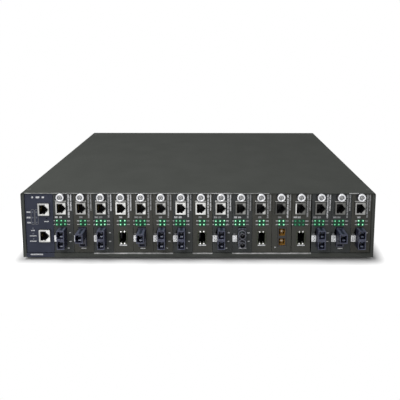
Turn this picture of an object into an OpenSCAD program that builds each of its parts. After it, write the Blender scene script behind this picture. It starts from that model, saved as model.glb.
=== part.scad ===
/* [Case] */
// Width of the case
body_w = 440; // [430:1:480]
// Height of the case without its feet
body_h = 84; // [82:1:100]
// Depth of the case from front frame to rear panel
body_d = 300; // [294:1:400]
// Thickness of the folded sheet
sheet = 1.2; // [1:0.1:1.4]
// Outer radius of the cover's two long bends
bend_r = 2.5; // [2:0.1:4]
// Height of a foot
foot_h = 4; // [3:0.5:8]
// Diameter of a foot
foot_d = 16; // [12:1:20]

/* [Front frame] */
// Width of the strip at each side of the front
side_strip = 4; // [3.8:0.1:6]
// Height of the lip below the faceplates
bottom_lip = 5.2; // [4.8:0.1:5.6]
// Height of the gap above the faceplates
top_gap = 1.4; // [1.3:0.1:2]
// How far the faceplates lie behind the front
face_recess = 1.2; // [1:0.1:2]
// Depth of the frame's side flanges and top flange
frame_flange = 18; // [14:1:18]

/* [Management panel] */
// Width of the management panel
panel_w = 35.2; // [35:0.1:38]
// Width of a management jack
panel_jack_w = 14; // [13.4:0.1:14]
// Height of a management jack
panel_jack_h = 15.6; // [14:0.1:16]
// Radius of the hole in front of the reset button
reset_hole_r = 1; // [0.8:0.1:1.3]
// Travel of the reset button
reset_travel = 0.8; // [0.4:0.1:1]

/* [Converter modules] */
// Gap between two neighbouring faceplates
slot_gap = 0.4; // [0.3:0.1:0.8]
// Length of a module's circuit board without its rear tongue
board_len = 91.5; // [80:0.5:92]
// Thickness of a circuit board
board_t = 1.6; // [1.2:0.1:1.8]
// Width of a module's network jack
jack_w = 12.6; // [12.2:0.1:12.8]
// Height of a module's network jack
jack_h = 15.4; // [14:0.1:15.8]
// Width of the plug opening of a network jack, without its latch notch
jack_open_w = 7.2; // [6.8:0.1:7.4]
// Height of the plug opening of a network jack
jack_open_h = 11.9; // [11.4:0.1:12.4]
// Radius of a module's lamp
lamp_r = 1.5; // [1:0.1:1.7]
// Radius of a thumb screw's knob
knob_r = 4.9; // [4:0.1:4.9]
// Length of a thumb screw's knob
knob_len = 2.8; // [2.6:0.1:8]
// Radius of a thumb screw's shaft
shaft_r = 1.5; // [1.2:0.1:2]

/* [Optics] */
// Width of the duplex square optic's nose
duplex_w = 9.3; // [9:0.1:9.6]
// Height of the duplex square optic's nose
duplex_h = 24.4; // [24.2:0.1:25.4]
// How far the duplex square optic stands in front of its faceplate
duplex_reach = 9.3; // [8:0.1:12]
// Width of the single square optic's base
single_w = 9.5; // [9:0.1:9.6]
// Height of the single square optic's base
single_h = 24.5; // [20:0.1:25.4]
// Height of the single square optic's receptacle
single_mouth_h = 11.6; // [11.4:0.1:12]
// How far the single square optic stands in front of its faceplate
single_reach = 15.2; // [13:0.1:16]
// Width of an optic's square opening
port_w = 7; // [6.6:0.1:7.2]
// Height of an optic's square opening
port_h = 9.4; // [9:0.1:9.6]
// Distance between the two ports of a duplex optic
port_pitch = 12.7; // [12.4:0.1:12.7]
// Width of a transceiver cage's opening
cage_w = 8.2; // [7.8:0.1:8.6]
// Height of a transceiver cage's opening
cage_h = 13.7; // [13:0.1:14.2]
// Depth of a transceiver cage
cage_len = 48; // [40:1:56]
// Outer radius of a round bayonet barrel
barrel_r = 4; // [3.6:0.1:4.4]

/* [Power supplies and fans] */
// Width of a power supply
psu_w = 110; // [90:1:112]
// Height of a power supply
psu_h = 72; // [70:1:72]
// Length of a power supply inside the case
psu_len = 163; // [140:1:163]
// Distance from the case's side to a power supply
psu_side = 14; // [13:1:16]
// How far a power supply's handle stands behind the case
handle_reach = 24; // [18:1:30]
// Length of a power supply's handle
handle_len = 50; // [40:1:56]
// Side of a fan's square frame
fan_w = 60; // [50:1:60]
// Thickness of a fan
fan_t = 25; // [15:1:25]
// Distance between the two fans' middles
fan_pitch = 64; // [62:1:68]

/* [Hidden] */
$fn = 48;
SLOTS = 16;
// One overrun for every cut, one gap for seated pieces, one for moving pieces and one for running fits
over = 1;
seat = 0.1;
run = 0.3;
fit = 0.06;
// Play round what passes through a window in a plate
window = 0.2;

// Optic of each module from left to right, whether it has six lamps or four, and whether it has a switch block
KINDS = ["duplex", "single", "duplex", "cage", "single", "duplex", "duplex", "cage",
         "duplex", "round", "cage", "flush", "cage", "duplex", "single", "duplex"];
SIX_LAMPS = [true, false, true, false, true, false, true, false,
             true, true, false, false, true, true, true, false];
SWITCHED = [true, true, true, false, true, true, true, false,
            true, true, false, false, false, true, true, true];

// Places of the case, with x from its left side, y from its front and z from its floor
front_reach = single_reach - face_recess;
front_y = (front_reach - handle_reach - body_d) / 2;
slots_x = side_strip + panel_w;
pitch = (body_w - side_strip - slots_x) / SLOTS;
inner_low = sheet + seat;
inner_high = body_h - sheet - seat;
inner_x = sheet + seat;
face_low = bottom_lip + window;
face_high = body_h - top_gap - seat;
face_back = face_recess + sheet;
rail_y = face_back + run;

// Cover
vent_count = 11;
vent_w = 3;
vent_pitch = 7;
vent_y = 90;
vent_low = 25;
vent_high = 60;
ear_dy = 30;
ear_dz = 36;
ear_y = 27;
ear_low = 25;
ear_r = 1.65;
ear_nut_r = 3.5;
ear_nut_t = 2;
cover_screw_in = 6;
cover_screw_y = 11;
side_screw_z = 10;
side_screw_in = 40;
side_screw_shares = [0.3, 0.5, 0.7];
countersink_r = 2.6;
countersink_t = 1;
cover_screw_r = 1.45;
cover_screw_len = 3.6;

// Front frame
web_drop = 10;
stop_rise = 2;
nut_r = 3;
nut_t = 3;

// Tray and feet
tray_flange = 16;
foot_in = 25;
foot_y = 24;

// Modules
board_x = 1.9;
board_y = 6.5;
board_low = 7.7;
board_top_gap = 10.5;
tongue_len = 6;
tongue_low = 24;
tongue_high = 60;
parts_x = board_x + board_t + seat * 2;
jack_d = 20;
jack_proud = 2;
jack_len = 16;
jack_margin = 1.6;
jack_hole_len = 12.8;
notch_w = 3.1;
notch_h = 6.4;
notch_tip_w = 1.5;
notch_tip_h = 4;
lamp_cols = [4.2, 9.3, 14.4];
lamp_rows_d = [36.75, 41.45];
lamp_proud = 0.3;
lamp_bar_t = 3;
lamp_rim = 0.6;
screw_x = 10.4;
screw_d = 5;
ferrule_r = 3.4;
ferrule_h = 1.8;
shaft_len = 9;
dish_r = 3.2;
dish_t = 1.3;
tip_r = 2.6;
tip_t = 0.9;
cross_w = 0.8;
cross_share = 0.8;
dip_x = 0.9;
dip_w = 5;
dip_h = 7.6;
dip_d = 59.8;
dip_proud = 0.5;
lever_w = 1.4;
lever_h = 0.9;
lever_t = 0.5;
lever_count = 4;
tab_len = 13;
tab_h = 14;
magnetics_w = 6;
magnetics_len = 14;
magnetics_h = 13;
chip_t = 1.2;
chip_side = 14;
regulator_h = 8;

// Optics
optic_d = 57.6;
optic_x = 11;
cage_x = 11.7;
cage_d = 58.6;
cage_wall = 0.5;
cage_collar = 1;
cage_collar_t = 0.5;
cage_proud = 0.6;
cage_base_h = 10;
round_x = 12.2;
round_w = 9.6;
round_proud = 3;
round_reach = 10;
round_pitch = 11.9;
flush_x = 12.85;
flush_w = 10.7;
flush_h = 25.8;
flush_d = 58;
flush_proud = 0.3;
flush_port_w = 8;
optic_body_w = 12.5;
optic_body_h = 25.4;
optic_body_len = 34;
optic_body_y = 7;
nose_end = optic_body_y + over;
port_len = 14;
sleeve_r = 2.1;
ferrule_bore_r = 0.9;
sleeve_len = 7;
single_base_proud = 2;
single_mouth_d = 52.6;
slot_under_w = 6.4;
slot_under_h = 2.2;
slot_under_t = 3;
barrel_bore_r = 3.1;
barrel_bore_len = 7;
barrel_core_r = 1.25;
lug_r = 0.8;
lug_h = 0.7;

// Guides, backplane and slot connectors
guide_t = 1.5;
guide_w = 5.2;
guide_y = 20;
guide_len = 74;
guide_grip = 1.5;
connector_w = 6;
connector_rim = 2;
backplane_t = 2.4;
backplane_y = board_y + board_len + tongue_len + connector_rim + seat;
backplane_x = 10;
backplane_low = inner_low;
backplane_top_gap = 4;

// Management panel
post_r = 2.5;
post_in = 4;
post_low = 7;
panel_jack_right = 4.4;
panel_jack_margin = 1.8;
panel_jack_ds = [21.6, 55.9];
panel_board_y = 15.8;
panel_board_in = 2;
panel_board_low = 8;
panel_lamp_r = 1;
panel_lamp_xs = [13.2, 18.2];
panel_lamp_ds = [25.4, 32.5, 39.1];
panel_single_ds = [46.3, 53.5, 60.4];
panel_pipe_y = 8;
panel_pipe_rim = 1.8;
riser_x = 12;
riser_low = 24;
riser_high = 66;
reset_x = 30.6;
reset_d = 34;
reset_r = 1.3;
reset_set_back = 2.4;
reset_body = 6;
reset_body_len = 6;
reset_in = 3;

// Power supplies
psu_low = 5;
psu_wall = 1;
psu_y = body_d - psu_len;
plate_rim = 3;
plate_gap = 0.3;
bay_wall = 1;
bay_gap = 0.4;
bay_h = 62;
dock_t = 1.6;
dock_gap = 6;
dock_y = psu_y - dock_gap - dock_t;
dock_block_w = 50;
dock_block_h = 9;
dock_block_t = 5;
dock_low = 16;
psu_tongue_w = 44;
psu_tongue_len = 4.5;
psu_board_z = 12;
coil_size = [40, 34, 30];
coil_x = 12;
coil_y = 60;
cap_r = 9;
cap_h = 32;
cap_xs = [24, 46];
cap_y = 34;
sink_size = [6, 80, 48];
sink_x = 88;
inlet_x = 12;
inlet_z = 14;
inlet_w = 31;
inlet_h = 24;
inlet_flange_t = 2;
inlet_body_w = 27;
inlet_body_h = 20;
inlet_len = 18;
inlet_open_w = 24;
inlet_open_h = 16;
inlet_open_len = 16;
blade_w = 4;
blade_t = 2;
blade_len = 9;
blade_dx = 7;
blade_dz = 4;
rocker_x = 19;
rocker_z = 46;
rocker_w = 11;
rocker_h = 16;
rocker_rim = 2;
rocker_depth = 12;
rocker_pin_r = 1.2;
rocker_tilt = 9;
rocker_crown = 3.4;
rocker_root = 6;
rocker_pin_y = 1.6;
air_r = 2;
air_pitch = 5.6;
air_cols = 5;
air_rows = 9;
air_x = 54;
air_z = 12;
handle_x = 96;
handle_r = 2.5;
psu_screw_in = 6;
psu_screw_r = 4;
psu_screw_len = 7;

// Fans
fan_rim = 1.6;
fan_bore_r = fan_w / 2 - fan_rim;
fan_mount_r = 12;
fan_mount_t = 3;
fan_strut_w = 3;
fan_strut_t = 2.5;
fan_tip = 0.8;
fan_hub_r = 13;
fan_pin_r = 1.5;
fan_axial = 1.2;
fan_blades = 7;
fan_blade_t = 1.4;
fan_blade_pitch = 42;
fan_screw_in = 5;
fan_hole_r = 1.9;
fan_screw_r = 1.6;
fan_screw_len = 7;
fan_head_r = 3;
fan_head_t = 1.6;
guard_t = 1.6;
guard_wire = 1.4;
guard_rings = [8, 14.5, 21, 27.5];
guard_eye_r = 3.4;

function two(i) = str(i < 9 ? "0" : "", i + 1);
function converter_name(i) = str("converter_", two(i));
function screw_name(i) = str("thumb_screw_", two(i));
function psu_x(side) = side == 0 ? psu_side : body_w - psu_side - psu_w;
function fan_x(side) = body_w / 2 + (side - 0.5) * fan_pitch;
function slot_x(i) = slots_x + i * pitch;
function up(d) = body_h - d;
function side_screw_ys() = concat([side_screw_in], body_d * side_screw_shares, [body_d - side_screw_in]);
function lamp_xs(i) = SIX_LAMPS[i] ? lamp_cols : [lamp_cols[1], lamp_cols[2]];

// A module's optic: middle of its nose across, its width and height, and its middle below the case's top
function nose(kind) =
    kind == "duplex" ? [optic_x, duplex_w, duplex_h, optic_d] :
    kind == "single" ? [optic_x, single_w, single_h, optic_d] :
    kind == "cage" ? [cage_x, cage_w + cage_wall * 2, cage_h + cage_wall * 2, cage_d] :
    kind == "round" ? [round_x, round_w, duplex_h, optic_d] :
    [flush_x, flush_w, flush_h, flush_d];

// Puts what is measured from the case's left side, front and floor in its place
module place() translate([-body_w / 2, front_y, foot_h]) children();

// A block between two places on each axis
module block(x, y, z) translate([x[0], y[0], z[0]]) cube([x[1] - x[0], y[1] - y[0], z[1] - z[0]]);

// A block with its middle at x and z
module plate(x, y, z, w, h) block([x - w / 2, x + w / 2], y, [z - h / 2, z + h / 2]);

// A round bar along the case's depth
module rod(x, z, r, y) translate([x, y[1], z]) rotate([90, 0, 0]) cylinder(r = r, h = y[1] - y[0]);

// Outline of the cover seen from the front, with two round upper corners
module bent_outline(w, h, r) {
    square([w, h - r]);
    translate([r, 0]) square([w - r * 2, h]);
    for (x = [r, w - r]) translate([x, h - r]) circle(r = r);
}

module along(depth) translate([0, depth, 0]) rotate([90, 0, 0]) linear_extrude(height = depth) children();

// Places of the screws in the cover's top
module at_top_screws()
    for (x = [cover_screw_in, body_w - cover_screw_in], y = [cover_screw_y, body_d - cover_screw_y])
        translate([x, y, body_h]) children();

// Places of the screws in the cover's sides, pointing outward along their own z
module at_side_screws()
    for (side = [0, 1], y = side_screw_ys())
        translate([side * body_w, y, side_screw_z]) rotate([0, side == 0 ? -90 : 90, 0]) children();

// A countersunk screw with its head's top at zero
module flat_screw(play) {
    translate([0, 0, -countersink_t])
        cylinder(r1 = cover_screw_r + play, r2 = countersink_r + play, h = countersink_t);
    translate([0, 0, -cover_screw_len]) cylinder(r = cover_screw_r + play, h = cover_screw_len);
}

// The hole for it, open past the face of the sheet
module screw_hole() {
    flat_screw(seat);
    cylinder(r = countersink_r + seat, h = over);
}

// What stands inside the cover keeps clear of its two round bends
module under_bends() intersection() {
    children();
    translate([inner_x, -over, 0]) along(body_d + over * 2)
        bent_outline(body_w - inner_x * 2, inner_high, bend_r - inner_x);
}

// Places of the holes for rack ears in both sides
module at_ear_holes()
    for (side = [0, 1], y = [ear_y, ear_y + ear_dy], z = [ear_low, ear_low + ear_dz])
        translate([side * body_w, y, z]) rotate([0, side == 0 ? 90 : -90, 0]) children();

module vent(y) for (x = [0, body_w]) {
    block([x - sheet - over, x + sheet + over], [y, y + vent_w], [vent_low, vent_high]);
    for (z = [vent_low, vent_high]) translate([x - sheet - over, y + vent_w / 2, z])
        rotate([0, 90, 0]) cylinder(d = vent_w, h = (sheet + over) * 2);
}

module top_cover() color([0.29, 0.30, 0.29]) difference() {
    union() {
        along(body_d) difference() {
            bent_outline(body_w, body_h, bend_r);
            translate([sheet, -over]) bent_outline(body_w - sheet * 2, body_h - sheet + over, bend_r - sheet);
        }
        at_ear_holes() translate([0, 0, sheet / 2]) cylinder(r = ear_nut_r, h = ear_nut_t + sheet / 2);
    }
    at_ear_holes() translate([0, 0, -over]) cylinder(r = ear_r, h = sheet + ear_nut_t + over * 2);
    at_top_screws() screw_hole();
    at_side_screws() screw_hole();
    for (i = [0:vent_count - 1]) vent(vent_y + i * vent_pitch);
}

module base_tray() color([0.27, 0.28, 0.28]) difference() {
    union() {
        block([inner_x, body_w - inner_x], [sheet + seat, body_d - sheet - seat], [0, sheet]);
        for (x = [inner_x, body_w - inner_x - sheet])
            block([x, x + sheet], [frame_flange + run, body_d - sheet - seat], [0, tray_flange]);
    }
    at_side_screws() screw_hole();
}

module front_frame() color([0.28, 0.29, 0.29]) difference() {
    under_bends() union() {
        // Side strips and their flanges
        for (x = [[inner_x, side_strip], [body_w - side_strip, body_w - inner_x]])
            block(x, [0, sheet], [0, inner_high]);
        for (x = [inner_x, body_w - inner_x - sheet])
            block([x, x + sheet], [0, frame_flange], [sheet + seat, inner_high]);
        // Lip, its ledge and the stop behind the faceplates
        block([inner_x, body_w - inner_x], [0, sheet], [0, bottom_lip]);
        block([inner_x, body_w - inner_x], [0, rail_y + sheet], [bottom_lip - sheet, bottom_lip]);
        block([inner_x, body_w - inner_x], [rail_y, rail_y + sheet], [bottom_lip - sheet, bottom_lip + stop_rise]);
        // Rail behind the faceplates' top edges
        block([slots_x, body_w - inner_x], [rail_y, rail_y + sheet], [up(web_drop), inner_high]);
        block([inner_x, body_w - inner_x], [rail_y, frame_flange], [inner_high - sheet, inner_high]);
        for (i = [0:SLOTS - 1])
            rod(slot_x(i) + screw_x, up(screw_d), nut_r, [rail_y, rail_y + sheet + nut_t]);
    }
    for (i = [0:SLOTS - 1])
        rod(slot_x(i) + screw_x, up(screw_d), shaft_r + fit, [rail_y - over, rail_y + sheet + nut_t + over]);
    at_top_screws() screw_hole();
}

module rear_panel() color([0.27, 0.28, 0.27]) difference() {
    under_bends() union() {
        block([inner_x, body_w - inner_x], [body_d - sheet, body_d], [sheet + seat, inner_high]);
        block([inner_x, body_w - inner_x], [body_d - frame_flange, body_d], [inner_high - sheet, inner_high]);
    }
    for (side = [0, 1]) {
        block([psu_x(side) - run, psu_x(side) + psu_w + run], [body_d - sheet - over, body_d + over],
            [psu_low - run, psu_low + psu_h + run]);
        rod(fan_x(side), body_h / 2, fan_bore_r, [body_d - sheet - over, body_d + over]);
        at_fan_screws(side) rod(0, 0, fan_hole_r, [body_d - sheet - over, body_d + over]);
    }
    at_top_screws() screw_hole();
}

module rubber_feet() color([0.08, 0.08, 0.08])
    for (x = [foot_in, body_w - foot_in], y = [foot_y, body_d - foot_y])
        translate([x, y, -foot_h]) cylinder(d = foot_d, h = foot_h);

module case_screws() color([0.35, 0.35, 0.36]) {
    at_top_screws() flat_screw(0);
    at_side_screws() flat_screw(0);
    for (side = [0, 1]) at_fan_screws(side) {
        rod(0, 0, fan_head_r, [body_d + guard_t + seat * 2, body_d + guard_t + seat * 2 + fan_head_t]);
        rod(0, 0, fan_screw_r, [body_d - fan_screw_len, body_d + guard_t + seat * 3]);
    }
}

// One grooved rail for each module's board, on a common plate, with the plate at the bottom
module card_guide(plate_t, rise, groove) difference() {
    union() {
        block([slots_x, body_w - side_strip - run], [guide_y, guide_y + guide_len], [0, plate_t]);
        for (i = [0:SLOTS - 1])
            block([slot_x(i) + board_x + board_t / 2 - guide_w / 2, slot_x(i) + board_x + board_t / 2 + guide_w / 2],
                [guide_y, guide_y + guide_len], [plate_t / 2, rise]);
    }
    for (i = [0:SLOTS - 1])
        block([slot_x(i) + board_x - window, slot_x(i) + board_x + board_t + window],
            [guide_y - over, guide_y + guide_len + over], [groove, rise + over]);
}

module lower_card_guide() color([0.13, 0.13, 0.14])
    translate([0, 0, inner_low])
        card_guide(guide_t, board_low + guide_grip - inner_low, board_low - window - inner_low);

module upper_card_guide() color([0.13, 0.13, 0.14])
    translate([0, 0, inner_high]) mirror([0, 0, 1])
        card_guide(guide_t, inner_high - up(board_top_gap) + guide_grip,
            inner_high - up(board_top_gap) - window);

module backplane_board() color([0.05, 0.28, 0.16])
    block([backplane_x, body_w - side_strip - run], [backplane_y, backplane_y + backplane_t],
        [backplane_low, up(backplane_top_gap)]);

module slot_connectors() color([0.10, 0.10, 0.11]) for (i = [0:SLOTS - 1]) difference() {
    block([slot_x(i) + board_x + board_t / 2 - connector_w / 2, slot_x(i) + board_x + board_t / 2 + connector_w / 2],
        [board_y + board_len + run, backplane_y - seat], [tongue_low - connector_rim, tongue_high + connector_rim]);
    block([slot_x(i) + board_x - window, slot_x(i) + board_x + board_t + window],
        [board_y, board_y + board_len + tongue_len + run], [tongue_low - window, tongue_high + window]);
}

// The plug opening of a network jack, with its latch notch towards the right
module plug_hole(y) {
    block([0, jack_open_w], y, [-jack_open_h / 2, jack_open_h / 2]);
    block([0, jack_open_w + notch_w - notch_tip_w], y, [-notch_h / 2, notch_h / 2]);
    block([0, jack_open_w + notch_w], y, [-notch_tip_h / 2, notch_tip_h / 2]);
}

// A shielded network jack from its left edge, with its middle at height zero
module jack(w, h, margin) {
    mouth = face_recess - jack_proud;
    difference() {
        block([0, w], [mouth, mouth + jack_len], [-h / 2, h / 2]);
        translate([margin, 0, 0]) plug_hole([mouth - over, mouth + jack_hole_len]);
    }
}

panel_jack_x = slots_x - panel_jack_right - panel_jack_w;
module at_panel_jacks() for (d = panel_jack_ds) translate([panel_jack_x, 0, up(d)]) children();

module at_panel_lamps() {
    for (x = panel_lamp_xs, d = panel_lamp_ds) translate([x, 0, up(d)]) children();
    for (d = panel_single_ds) translate([panel_lamp_xs[0], 0, up(d)]) children();
}

module at_panel_posts()
    for (x = [side_strip + post_in, slots_x - post_in], z = [face_low + post_low, face_high - post_low])
        translate([x, 0, z]) children();

module management_panel() color([0.20, 0.22, 0.26]) difference() {
    union() {
        block([side_strip + window, slots_x - window], [face_recess, face_back], [face_low, face_high]);
        at_panel_posts() rod(0, 0, post_r, [face_back - sheet / 2, panel_board_y - seat]);
    }
    at_panel_jacks() plate(panel_jack_w / 2, [face_recess - over, face_back + over], 0,
        panel_jack_w + window * 2, panel_jack_h + window * 2);
    at_panel_lamps() rod(0, 0, panel_lamp_r + seat, [face_recess - over, face_back + over]);
    rod(reset_x, up(reset_d), reset_hole_r, [face_recess - over, face_back + over]);
}

module management_jacks() color([0.75, 0.76, 0.77])
    at_panel_jacks() jack(panel_jack_w, panel_jack_h, panel_jack_margin);

module management_lamps() color([0.75, 0.85, 0.78]) {
    at_panel_lamps() rod(0, 0, panel_lamp_r, [face_recess - lamp_proud, panel_pipe_y + seat]);
    block([panel_lamp_xs[0] - panel_pipe_rim, panel_lamp_xs[1] + panel_pipe_rim],
        [panel_pipe_y, panel_board_y - seat],
        [up(panel_lamp_ds[2]) - panel_pipe_rim, up(panel_lamp_ds[0]) + panel_pipe_rim]);
    block([panel_lamp_xs[0] - panel_pipe_rim, panel_lamp_xs[0] + panel_pipe_rim],
        [panel_pipe_y, panel_board_y - seat],
        [up(panel_single_ds[2]) - panel_pipe_rim, up(panel_lamp_ds[2])]);
}

module management_board() color([0.05, 0.30, 0.17]) {
    // Front board with the reset switch's body
    difference() {
        union() {
            block([side_strip + panel_board_in, slots_x - panel_board_in],
                [panel_board_y, panel_board_y + board_t], [panel_board_low, inner_high - sheet - panel_board_in]);
            plate(reset_x, [panel_board_y - reset_body_len, panel_board_y + board_t / 2], up(reset_d),
                reset_body, reset_body);
        }
        rod(reset_x, up(reset_d), reset_r + fit, [face_back, panel_board_y - reset_body_len + reset_in + reset_travel + run]);
    }
    // Riser board that plugs into the backplane
    block([riser_x, riser_x + board_t], [panel_board_y + board_t + seat, backplane_y - seat],
        [riser_low, riser_high]);
    block([riser_x + board_t + seat, riser_x + board_t + chip_t + seat],
        [guide_y + chip_side, guide_y + chip_side * 2], [riser_low + chip_side, riser_low + chip_side * 2]);
}

module reset_button() color([0.12, 0.12, 0.13])
    rod(reset_x, up(reset_d), reset_r,
        [face_back + reset_set_back, panel_board_y - reset_body_len + reset_in]);

// Faceplate with its ferrule and the tab that holds the board
module faceplate(i, k) color([0.27, 0.28, 0.28]) difference() {
    n = nose(k);
    union() {
        block([slot_gap / 2, pitch - slot_gap / 2], [face_recess, face_back], [face_low, face_high]);
        rod(screw_x, up(screw_d), ferrule_r, [face_recess - ferrule_h, face_back]);
        block([board_x - seat - sheet, board_x - seat], [face_recess, face_recess + tab_len],
            [up(jack_d) - tab_h / 2, up(jack_d) + tab_h / 2]);
    }
    rod(screw_x, up(screw_d), shaft_r + fit, [face_recess - ferrule_h - over, face_back + over]);
    plate(parts_x + jack_w / 2, [face_recess - over, face_back + over], up(jack_d),
        jack_w + window * 2, jack_h + window * 2);
    for (x = lamp_xs(i), d = lamp_rows_d)
        rod(x, up(d), lamp_r + seat, [face_recess - over, face_back + over]);
    plate(n[0], [face_recess - over, face_back + over], up(n[3]), n[1] + window * 2, n[2] + window * 2);
    if (SWITCHED[i]) plate(dip_x + dip_w / 2, [face_recess - over, face_back + over], up(dip_d),
        dip_w + window * 2, dip_h + window * 2);
}

module module_board() color([0.06, 0.32, 0.18]) {
    block([board_x, board_x + board_t], [board_y, board_y + board_len], [board_low, up(board_top_gap)]);
    block([board_x, board_x + board_t], [board_y, board_y + board_len + tongue_len], [tongue_low, tongue_high]);
}

// Lamps of a module: round light pipes on one bar
module light_pipes(i) color([0.45, 0.85, 0.58]) {
    xs = lamp_xs(i);
    for (x = xs, d = lamp_rows_d) rod(x, up(d), lamp_r, [face_recess - lamp_proud, face_back + run * 2]);
    block([xs[0] - lamp_r - lamp_rim, lamp_cols[2] + lamp_r + lamp_rim],
        [face_back + run, face_back + run + lamp_bar_t],
        [up(lamp_rows_d[1]) - lamp_r - lamp_rim, up(lamp_rows_d[0]) + lamp_r + lamp_rim]);
}

// Small white block of four levers
module dip_switch() {
    color([0.93, 0.93, 0.92]) plate(dip_x + dip_w / 2, [face_recess - dip_proud, board_y - seat], up(dip_d), dip_w, dip_h);
    color([0.2, 0.2, 0.2]) for (j = [0:lever_count - 1])
        plate(dip_x + dip_w / 2, [face_recess - dip_proud - lever_t, face_recess - dip_proud + seat],
            up(dip_d) + (j - (lever_count - 1) / 2) * dip_h / lever_count, lever_w, lever_h);
}

// A square port of an optic: its opening and the sleeve that stands in it
module port_hole(x, z, w, mouth) plate(x, [mouth - over, mouth + port_len], z, w, port_h);
module port_sleeve(x, z, mouth) difference() {
    rod(x, z, sleeve_r, [mouth + port_len - sleeve_len, mouth + port_len + seat]);
    rod(x, z, ferrule_bore_r, [mouth + port_len - sleeve_len - over, mouth + port_len]);
}

// The box of an optic behind the faceplate
module optic_body() plate(parts_x + optic_body_w / 2,
    [optic_body_y, optic_body_y + optic_body_len], up(optic_d), optic_body_w, optic_body_h);

module duplex_optic() color([0.11, 0.12, 0.18]) {
    mouth = face_recess - duplex_reach;
    zs = [up(optic_d) - port_pitch / 2, up(optic_d) + port_pitch / 2];
    difference() {
        union() {
            plate(optic_x, [mouth, nose_end], up(optic_d), duplex_w, duplex_h);
            optic_body();
        }
        for (z = zs) port_hole(optic_x, z, port_w, mouth);
    }
    for (z = zs) port_sleeve(optic_x, z, mouth);
}

module single_optic() color([0.12, 0.13, 0.20]) {
    mouth = face_recess - single_reach;
    difference() {
        union() {
            plate(optic_x, [face_recess - single_base_proud, nose_end], up(optic_d), single_w, single_h);
            plate(optic_x, [mouth, face_back], up(single_mouth_d), single_w, single_mouth_h);
            optic_body();
        }
        port_hole(optic_x, up(single_mouth_d), port_w, mouth);
        plate(optic_x, [face_recess - single_base_proud - over, face_recess - single_base_proud + slot_under_t],
            up(optic_d) - single_h / 2 + slot_under_h, slot_under_w, slot_under_h);
    }
    port_sleeve(optic_x, up(single_mouth_d), mouth);
}

// Open metal cage for a pluggable transceiver, on a base that lifts it off the board
module cage_optic() color([0.62, 0.63, 0.64]) {
    mouth = face_recess - cage_proud;
    outer_w = cage_w + cage_wall * 2;
    outer_h = cage_h + cage_wall * 2;
    difference() {
        union() {
            plate(cage_x, [mouth, mouth + cage_len], up(cage_d), outer_w, outer_h);
            plate(cage_x, [mouth, mouth + cage_collar_t], up(cage_d), outer_w + cage_collar * 2, outer_h + cage_collar * 2);
            plate((parts_x + cage_x) / 2, [board_y + cage_wall, mouth + cage_len - cage_wall], up(cage_d),
                cage_x - parts_x, cage_base_h);
        }
        plate(cage_x, [mouth - over, mouth + cage_len - cage_wall], up(cage_d), cage_w, cage_h);
    }
}

module round_optic() color([0.10, 0.10, 0.11]) {
    mouth = face_recess - round_reach;
    zs = [up(optic_d) - round_pitch / 2, up(optic_d) + round_pitch / 2];
    difference() {
        union() {
            plate(round_x, [face_recess - round_proud, nose_end], up(optic_d), round_w, duplex_h);
            optic_body();
            for (z = zs) {
                rod(round_x, z, barrel_r, [mouth, face_back]);
                for (s = [-1, 1]) translate([round_x, mouth + lug_r * 2, z]) rotate([0, s * 90, 0])
                    cylinder(r = lug_r, h = barrel_r + lug_h);
            }
        }
        for (z = zs) rod(round_x, z, barrel_bore_r, [mouth - over, mouth + barrel_bore_len]);
    }
    for (z = zs) rod(round_x, z, barrel_core_r, [mouth + lug_r * 2, mouth + barrel_bore_len + seat]);
}

module flush_optic() color([0.13, 0.12, 0.11]) {
    mouth = face_recess - flush_proud;
    zs = [up(flush_d) - port_pitch / 2, up(flush_d) + port_pitch / 2];
    difference() {
        union() {
            plate(flush_x, [mouth, nose_end], up(flush_d), flush_w, flush_h);
            optic_body();
        }
        for (z = zs) port_hole(flush_x, z, flush_port_w, mouth);
    }
    for (z = zs) port_sleeve(flush_x, z, mouth);
}

module optic(k) {
    if (k == "duplex") duplex_optic();
    if (k == "single") single_optic();
    if (k == "cage") cage_optic();
    if (k == "round") round_optic();
    if (k == "flush") flush_optic();
}

// Magnetics behind the jack and two chips on the board
module board_parts() color([0.09, 0.09, 0.10]) {
    magnetics_y = face_recess - jack_proud + jack_len + run;
    block([parts_x, parts_x + magnetics_w], [magnetics_y, magnetics_y + magnetics_len],
        [up(jack_d) - magnetics_h / 2, up(jack_d) + magnetics_h / 2]);
    block([parts_x, parts_x + chip_t], [board_y + board_len / 2, board_y + board_len / 2 + chip_side],
        [up(jack_d) - chip_side / 2, up(jack_d) + chip_side / 2]);
    block([parts_x, parts_x + magnetics_w], [board_y + board_len - chip_side * 2, board_y + board_len - chip_side],
        [board_low + regulator_h, board_low + regulator_h * 2]);
}

module converter(i) translate([slot_x(i), 0, 0]) {
    faceplate(i, KINDS[i]);
    module_board();
    color([0.75, 0.76, 0.77]) translate([parts_x, 0, up(jack_d)]) jack(jack_w, jack_h, jack_margin);
    light_pipes(i);
    if (SWITCHED[i]) dip_switch();
    optic(KINDS[i]);
    board_parts();
}

// Captive screw: a knob with a dished end and a cross slot, and a plain shaft
module thumb_screw(i) color([0.80, 0.81, 0.82]) translate([slot_x(i) + screw_x, 0, up(screw_d)]) {
    knob_back = face_recess - ferrule_h - run;
    tip = knob_back - knob_len;
    difference() {
        union() {
            difference() {
                rod(0, 0, knob_r, [tip, knob_back]);
                rod(0, 0, dish_r, [tip - over, tip + dish_t]);
            }
            rod(0, 0, tip_r, [tip + dish_t - tip_t, tip + dish_t * 2]);
        }
        for (a = [0, 90]) rotate([0, a, 0])
            plate(0, [tip - over, tip + dish_t + tip_t / 2], 0, cross_w, tip_r * 2 * cross_share);
    }
    rod(0, 0, shaft_r, [knob_back - seat, knob_back + shaft_len]);
}

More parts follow.
